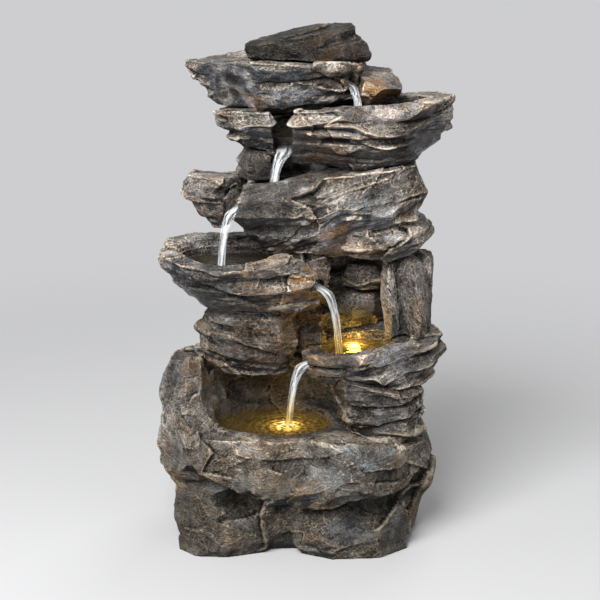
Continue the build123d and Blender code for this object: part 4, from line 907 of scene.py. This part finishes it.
def floor_finish(cfg):
    """Pale floor that fades into the backdrop away from the object."""
    f = Finish("floor")
    cloud = f.span(f.noise(2.0, 2.0, 0.5), 0.3, 0.7)
    tint = f.mix(cloud, opaque(cfg.floor), opaque(c * 0.99 for c in cfg.floor))
    f.set(Base_Color=tint, Roughness=0.9, Specular_IOR_Level=0.1)
    away = f.vector("LENGTH", f.place, output="Value")
    clear = f.add("BsdfTransparent", {}, "BSDF")
    both = f.add("MixShader", {0: f.span(away, 0.5, 1.9), 1: f.shader.outputs["BSDF"], 2: clear}, "Shader")
    f.feed(f.find("OUTPUT_MATERIAL"), {"Surface": both})
    return f.material


# Operators


class FOUNTAIN_OT_stones(bpy.types.Operator):
    """Carve all the stones and let them stand for the plain solids"""

    bl_idname = "fountain.stones"
    bl_label = "Carve stones"

    def execute(self, context):
        cfg = settings()
        material = slate("slate", cfg.slate)
        for node, spec in STONES.items():
            grain = cfg.slate.base_grain if node == "base_basin" else cfg.slate.grain
            grain *= 1.0
            mesh = carve(node, spec, grain, cfg.slate.warp, cfg.seed)
            stone = new_piece(node + "_carved", mesh, material)
            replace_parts(stone, node)
        return {"FINISHED"}


class FOUNTAIN_OT_rear_panel(bpy.types.Operator):
    """Roughen the outer face of the rear door"""

    bl_idname = "fountain.rear_panel"
    bl_label = "Rear panel"

    def execute(self, context):
        cfg = settings()
        mesh = fine_copy("rear_door", DOOR_GRAIN)
        p = read(mesh.vertices, "co")
        x, y, z = p.T
        low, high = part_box("rear_door")
        rim = np.minimum(np.minimum(x - low.x, high.x - x), np.minimum(z - low.z, high.z - z))
        face = ease((y - high.y + 0.004) / 0.003) * ease((rim - 0.002) / 0.006)
        for screw in SCREW_PLACES:
            face *= ease((np.hypot(x - screw, z - SCREW_LEVEL) - SCREW_RING) / 0.006)
        stand, tone, strata = shelves(p, p, 0.016, 0.05, 77)
        chips = facets(p / 0.02, 79)[0]
        p[:, 1] += face * (0.0016 * stand + 0.0006 * chips + 0.0006 * soft_noise(p, 0.012, 78, 3))
        put_vertices(mesh, p)
        still = np.zeros(len(p))
        put_attributes(mesh, edge=0.4 * face * stand, tone=0.5 + 0.25 * tone, up=still + 0.48,
                       swell=0.2 * stand, wet=still, rust=still, fresh=still, strata=strata)
        panel = new_piece("rear_panel", mesh, slate("slate_panel", cfg.slate), "door")
        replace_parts(panel, "rear_door")
        return {"FINISHED"}


class FOUNTAIN_OT_pools(bpy.types.Operator):
    """Fill the basins"""

    bl_idname = "fountain.pools"
    bl_label = "Pools"

    def execute(self, context):
        cfg = settings().water
        plain = still_water()
        r = np.linspace(0.0, 1.0, 60)[1:, None]
        a = np.linspace(0.0, 2.0 * np.pi, 121)[None, :-1]
        for name, ((x, y), (rx, ry), level, landing, glow) in POOLS.items():
            px, py = x + rx * r * np.cos(a), y + ry * r * np.sin(a)
            flat = np.column_stack((px.ravel(), py.ravel(), np.full(px.size, level)))
            height = level + 0.0006 * soft_noise(flat, 0.018, 91, 2).reshape(px.shape)
            if landing:
                away = np.hypot(px - landing[0], py - landing[1])
                height = height + cfg.ripple * np.cos(away / RIPPLE_STEP) * np.exp(-away / RIPPLE_REACH)
            mesh = disc_mesh(name, (x, y, level), np.stack((px, py, height), axis=-1))
            water = plain
            if glow:
                lamp, reach = LIT_POOLS[name]
                middle = (LAMPS[lamp][0], LAMPS[lamp][1] - GLOW_FORWARD, level)
                water = lit_water(name + "_water", cfg.glow, middle, (*landing, level), reach)
            new_piece(name, mesh, water)
        return {"FINISHED"}


class FOUNTAIN_OT_streams(bpy.types.Operator):
    """Let the water run over the lips and fall"""

    bl_idname = "fountain.streams"
    bl_label = "Streams"

    def execute(self, context):
        cfg = settings().water
        clear = stream_water("running_water", CLEAR_WATER)
        golden = stream_water("golden_water", GOLDEN_WATER)
        for index, (name, way) in enumerate(STREAMS.items()):
            mesh = stream_mesh(name, *way, cfg.film, 301 + 7 * index)
            new_piece(name, mesh, golden if name in GOLDEN_STREAMS else clear)
        return {"FINISHED"}


def stream_mesh(name, inner, lip, landing, wide, narrow, film, seed):
    """A flat tube along the water's way: straight down the channel, then a fall whose drop is a quarter of
    the time and three quarters of its square. Across, it is a flat oval with strands that swell and thin."""
    inner, lip, landing = (np.array(v) for v in (inner, lip, landing))
    t = np.linspace(0.0, 1.0, 90)
    run, fall = np.clip(t / 0.25, 0.0, 1.0), np.clip((t - 0.25) / 0.75, 0.0, 1.0)
    path = inner + run[:, None] * (lip - inner)
    path[:, :2] += fall[:, None] * (landing - lip)[:2] * (1.0 - 0.25 * fall[:, None]) / 0.75
    path[:, 2] += (landing - lip)[2] * (0.25 * fall + 0.75 * fall ** 2)
    for _ in range(30):
        path[1:-1] = 0.25 * path[:-2] + 0.5 * path[1:-1] + 0.25 * path[2:]
    way = np.gradient(path, axis=0)
    way /= np.linalg.norm(way, axis=1)[:, None]
    heading = (landing - inner) * np.array((1.0, 1.0, 0.0))
    heading = heading / np.linalg.norm(heading) + np.array((0.0, -0.9, 0.0))
    heading /= np.linalg.norm(heading)
    across = np.array((-heading[1], heading[0], 0.0))
    out = np.cross(across, way)
    out /= np.linalg.norm(out, axis=1)[:, None]
    a = np.linspace(0.0, 2.0 * np.pi, 49)[:-1]
    tt, aa = np.meshgrid(t, a, indexing="ij")
    flat = np.column_stack((np.cos(aa).ravel() * 2.2, tt.ravel() * 3.0, np.sin(aa).ravel() * 0.5))
    strand = soft_noise(flat, 0.55, seed, 3).reshape(tt.shape)
    half = 0.5 * (wide + (narrow - wide) * ease(t / 0.8))[:, None] * (1.0 + 0.16 * strand)
    thick = 0.5 * film * (0.65 + 0.6 * ease((t - 0.2) / 0.5))[:, None] * (1.0 + 0.75 * strand)
    points = (path[:, None, :] + (half * np.cos(aa))[..., None] * across
              + (thick * np.sin(aa))[..., None] * out[:, None, :])
    ends = points[[0, -1]].mean(1)[:, None, :].repeat(points.shape[1], 1)
    return grid_mesh(name, np.concatenate((ends[:1], points, ends[1:])), outward=True)


class FOUNTAIN_OT_fittings(bpy.types.Operator):
    """Finish the pump, hose, lamps, screws and the other built parts that stay as they are"""

    bl_idname = "fountain.fittings"
    bl_label = "Fittings"

    def execute(self, context):
        finishes = {name: moulded(name, *look) for name, look in MOULDED.items()}
        finishes["clear_hose"] = hose_plastic()
        finishes["lit_lens"] = lit_lens(settings().water)
        taken = {node for obj in bpy.data.objects for node in obj.get("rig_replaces", [])}
        for row in frame["record"]["subparts"]:
            if row["node"] in taken:
                continue
            for place in frame["nodes"][row["node"]].material_slots:
                place.material = finishes[row["material_slot"]]
        return {"FINISHED"}


class FOUNTAIN_OT_stage(bpy.types.Operator):
    """Set up the floor, the studio light and the camera"""

    bl_idname = "fountain.stage"
    bl_label = "Stage"

    def execute(self, context):
        cfg = settings().stage
        water = settings().water
        context.scene.view_settings.view_transform = "Standard"
        r = np.geomspace(0.2, 14.0, 24)[:, None]
        a = np.linspace(0.0, 2.0 * np.pi, 97)[None, :-1]
        rings = np.stack((r * np.cos(a), r * np.sin(a), np.zeros_like(r * a)), axis=-1)
        floor = put("floor", disc_mesh("floor", (0.0, 0.0, 0.0), rings))
        floor.data.materials.append(floor_finish(cfg))
        context.scene.world = self.world(cfg)
        for name, (place, aim, size, power) in LIGHTS.items():
            light = bpy.data.lights.new(name, "AREA")
            light.size = size
            light.energy = power
            self.aimed(put(name, light), place, aim)
        for name, place in LAMPS.items():
            light = bpy.data.lights.new(name, "POINT")
            light.energy = water.lamp_power
            light.color = water.glow
            light.shadow_soft_size = 0.01
            put(name, light).location = place
        camera = bpy.data.cameras.new("camera")
        camera.lens = cfg.lens
        camera.sensor_width = SENSOR_WIDTH
        context.scene.camera = self.aimed(put("camera", camera), cfg.camera, cfg.target)
        return {"FINISHED"}

    def aimed(self, obj, place, aim):
        """The object, at a place and looking at a point."""
        obj.location = place
        obj.rotation_euler = (Vector(aim) - Vector(place)).to_track_quat("-Z", "Y").to_euler()
        return obj

    def world(self, cfg):
        """Soft light all round, with the backdrop's colour where it is seen, straight or in gloss."""
        world = bpy.data.worlds.new("studio")
        nodes = Nodes(world)
        light = nodes.find("BACKGROUND")
        nodes.feed(light, {"Color": (1.0, 1.0, 1.0, 1.0), "Strength": AMBIENT})
        seen = nodes.add("Background", {"Color": opaque(cfg.backdrop)}, "Background")
        either = nodes.add("LightPath", {}, "Is Camera Ray")
        rays = either.node.outputs
        for ray in ("Is Glossy Ray", "Is Transmission Ray"):
            either = nodes.math("MAXIMUM", either, rays[ray])
        both = nodes.add("MixShader", {0: either, 1: light.outputs["Background"], 2: seen}, "Shader")
        nodes.feed(nodes.find("OUTPUT_WORLD"), {"Surface": both})
        return world


class FOUNTAIN_PT_panel(bpy.types.Panel):
    """Lists the steps that dress the fountain"""

    bl_idname = "FOUNTAIN_PT_panel"
    bl_label = "Fountain"
    bl_space_type = "VIEW_3D"
    bl_region_type = "UI"
    bl_category = "Fountain"

    def draw(self, context):
        for step in STEPS:
            self.layout.operator(step.bl_idname)


STEPS = (FOUNTAIN_OT_stage, FOUNTAIN_OT_stones, FOUNTAIN_OT_rear_panel, FOUNTAIN_OT_pools,
         FOUNTAIN_OT_streams, FOUNTAIN_OT_fittings)
CLASSES = (SlateSettings, WaterSettings, StageSettings, FountainSettings, *STEPS, FOUNTAIN_PT_panel)


def register():
    for cls in CLASSES:
        bpy.utils.register_class(cls)
    bpy.types.Scene.slate_fountain = PointerProperty(type=FountainSettings)


def unregister():
    del bpy.types.Scene.slate_fountain
    for cls in reversed(CLASSES):
        bpy.utils.unregister_class(cls)


def main():
    register()
    bpy.ops.fountain.stage()
    bpy.ops.fountain.stones()
    bpy.ops.fountain.rear_panel()
    bpy.ops.fountain.pools()
    bpy.ops.fountain.streams()
    bpy.ops.fountain.fittings()


if __name__ == "__main__":
    main()
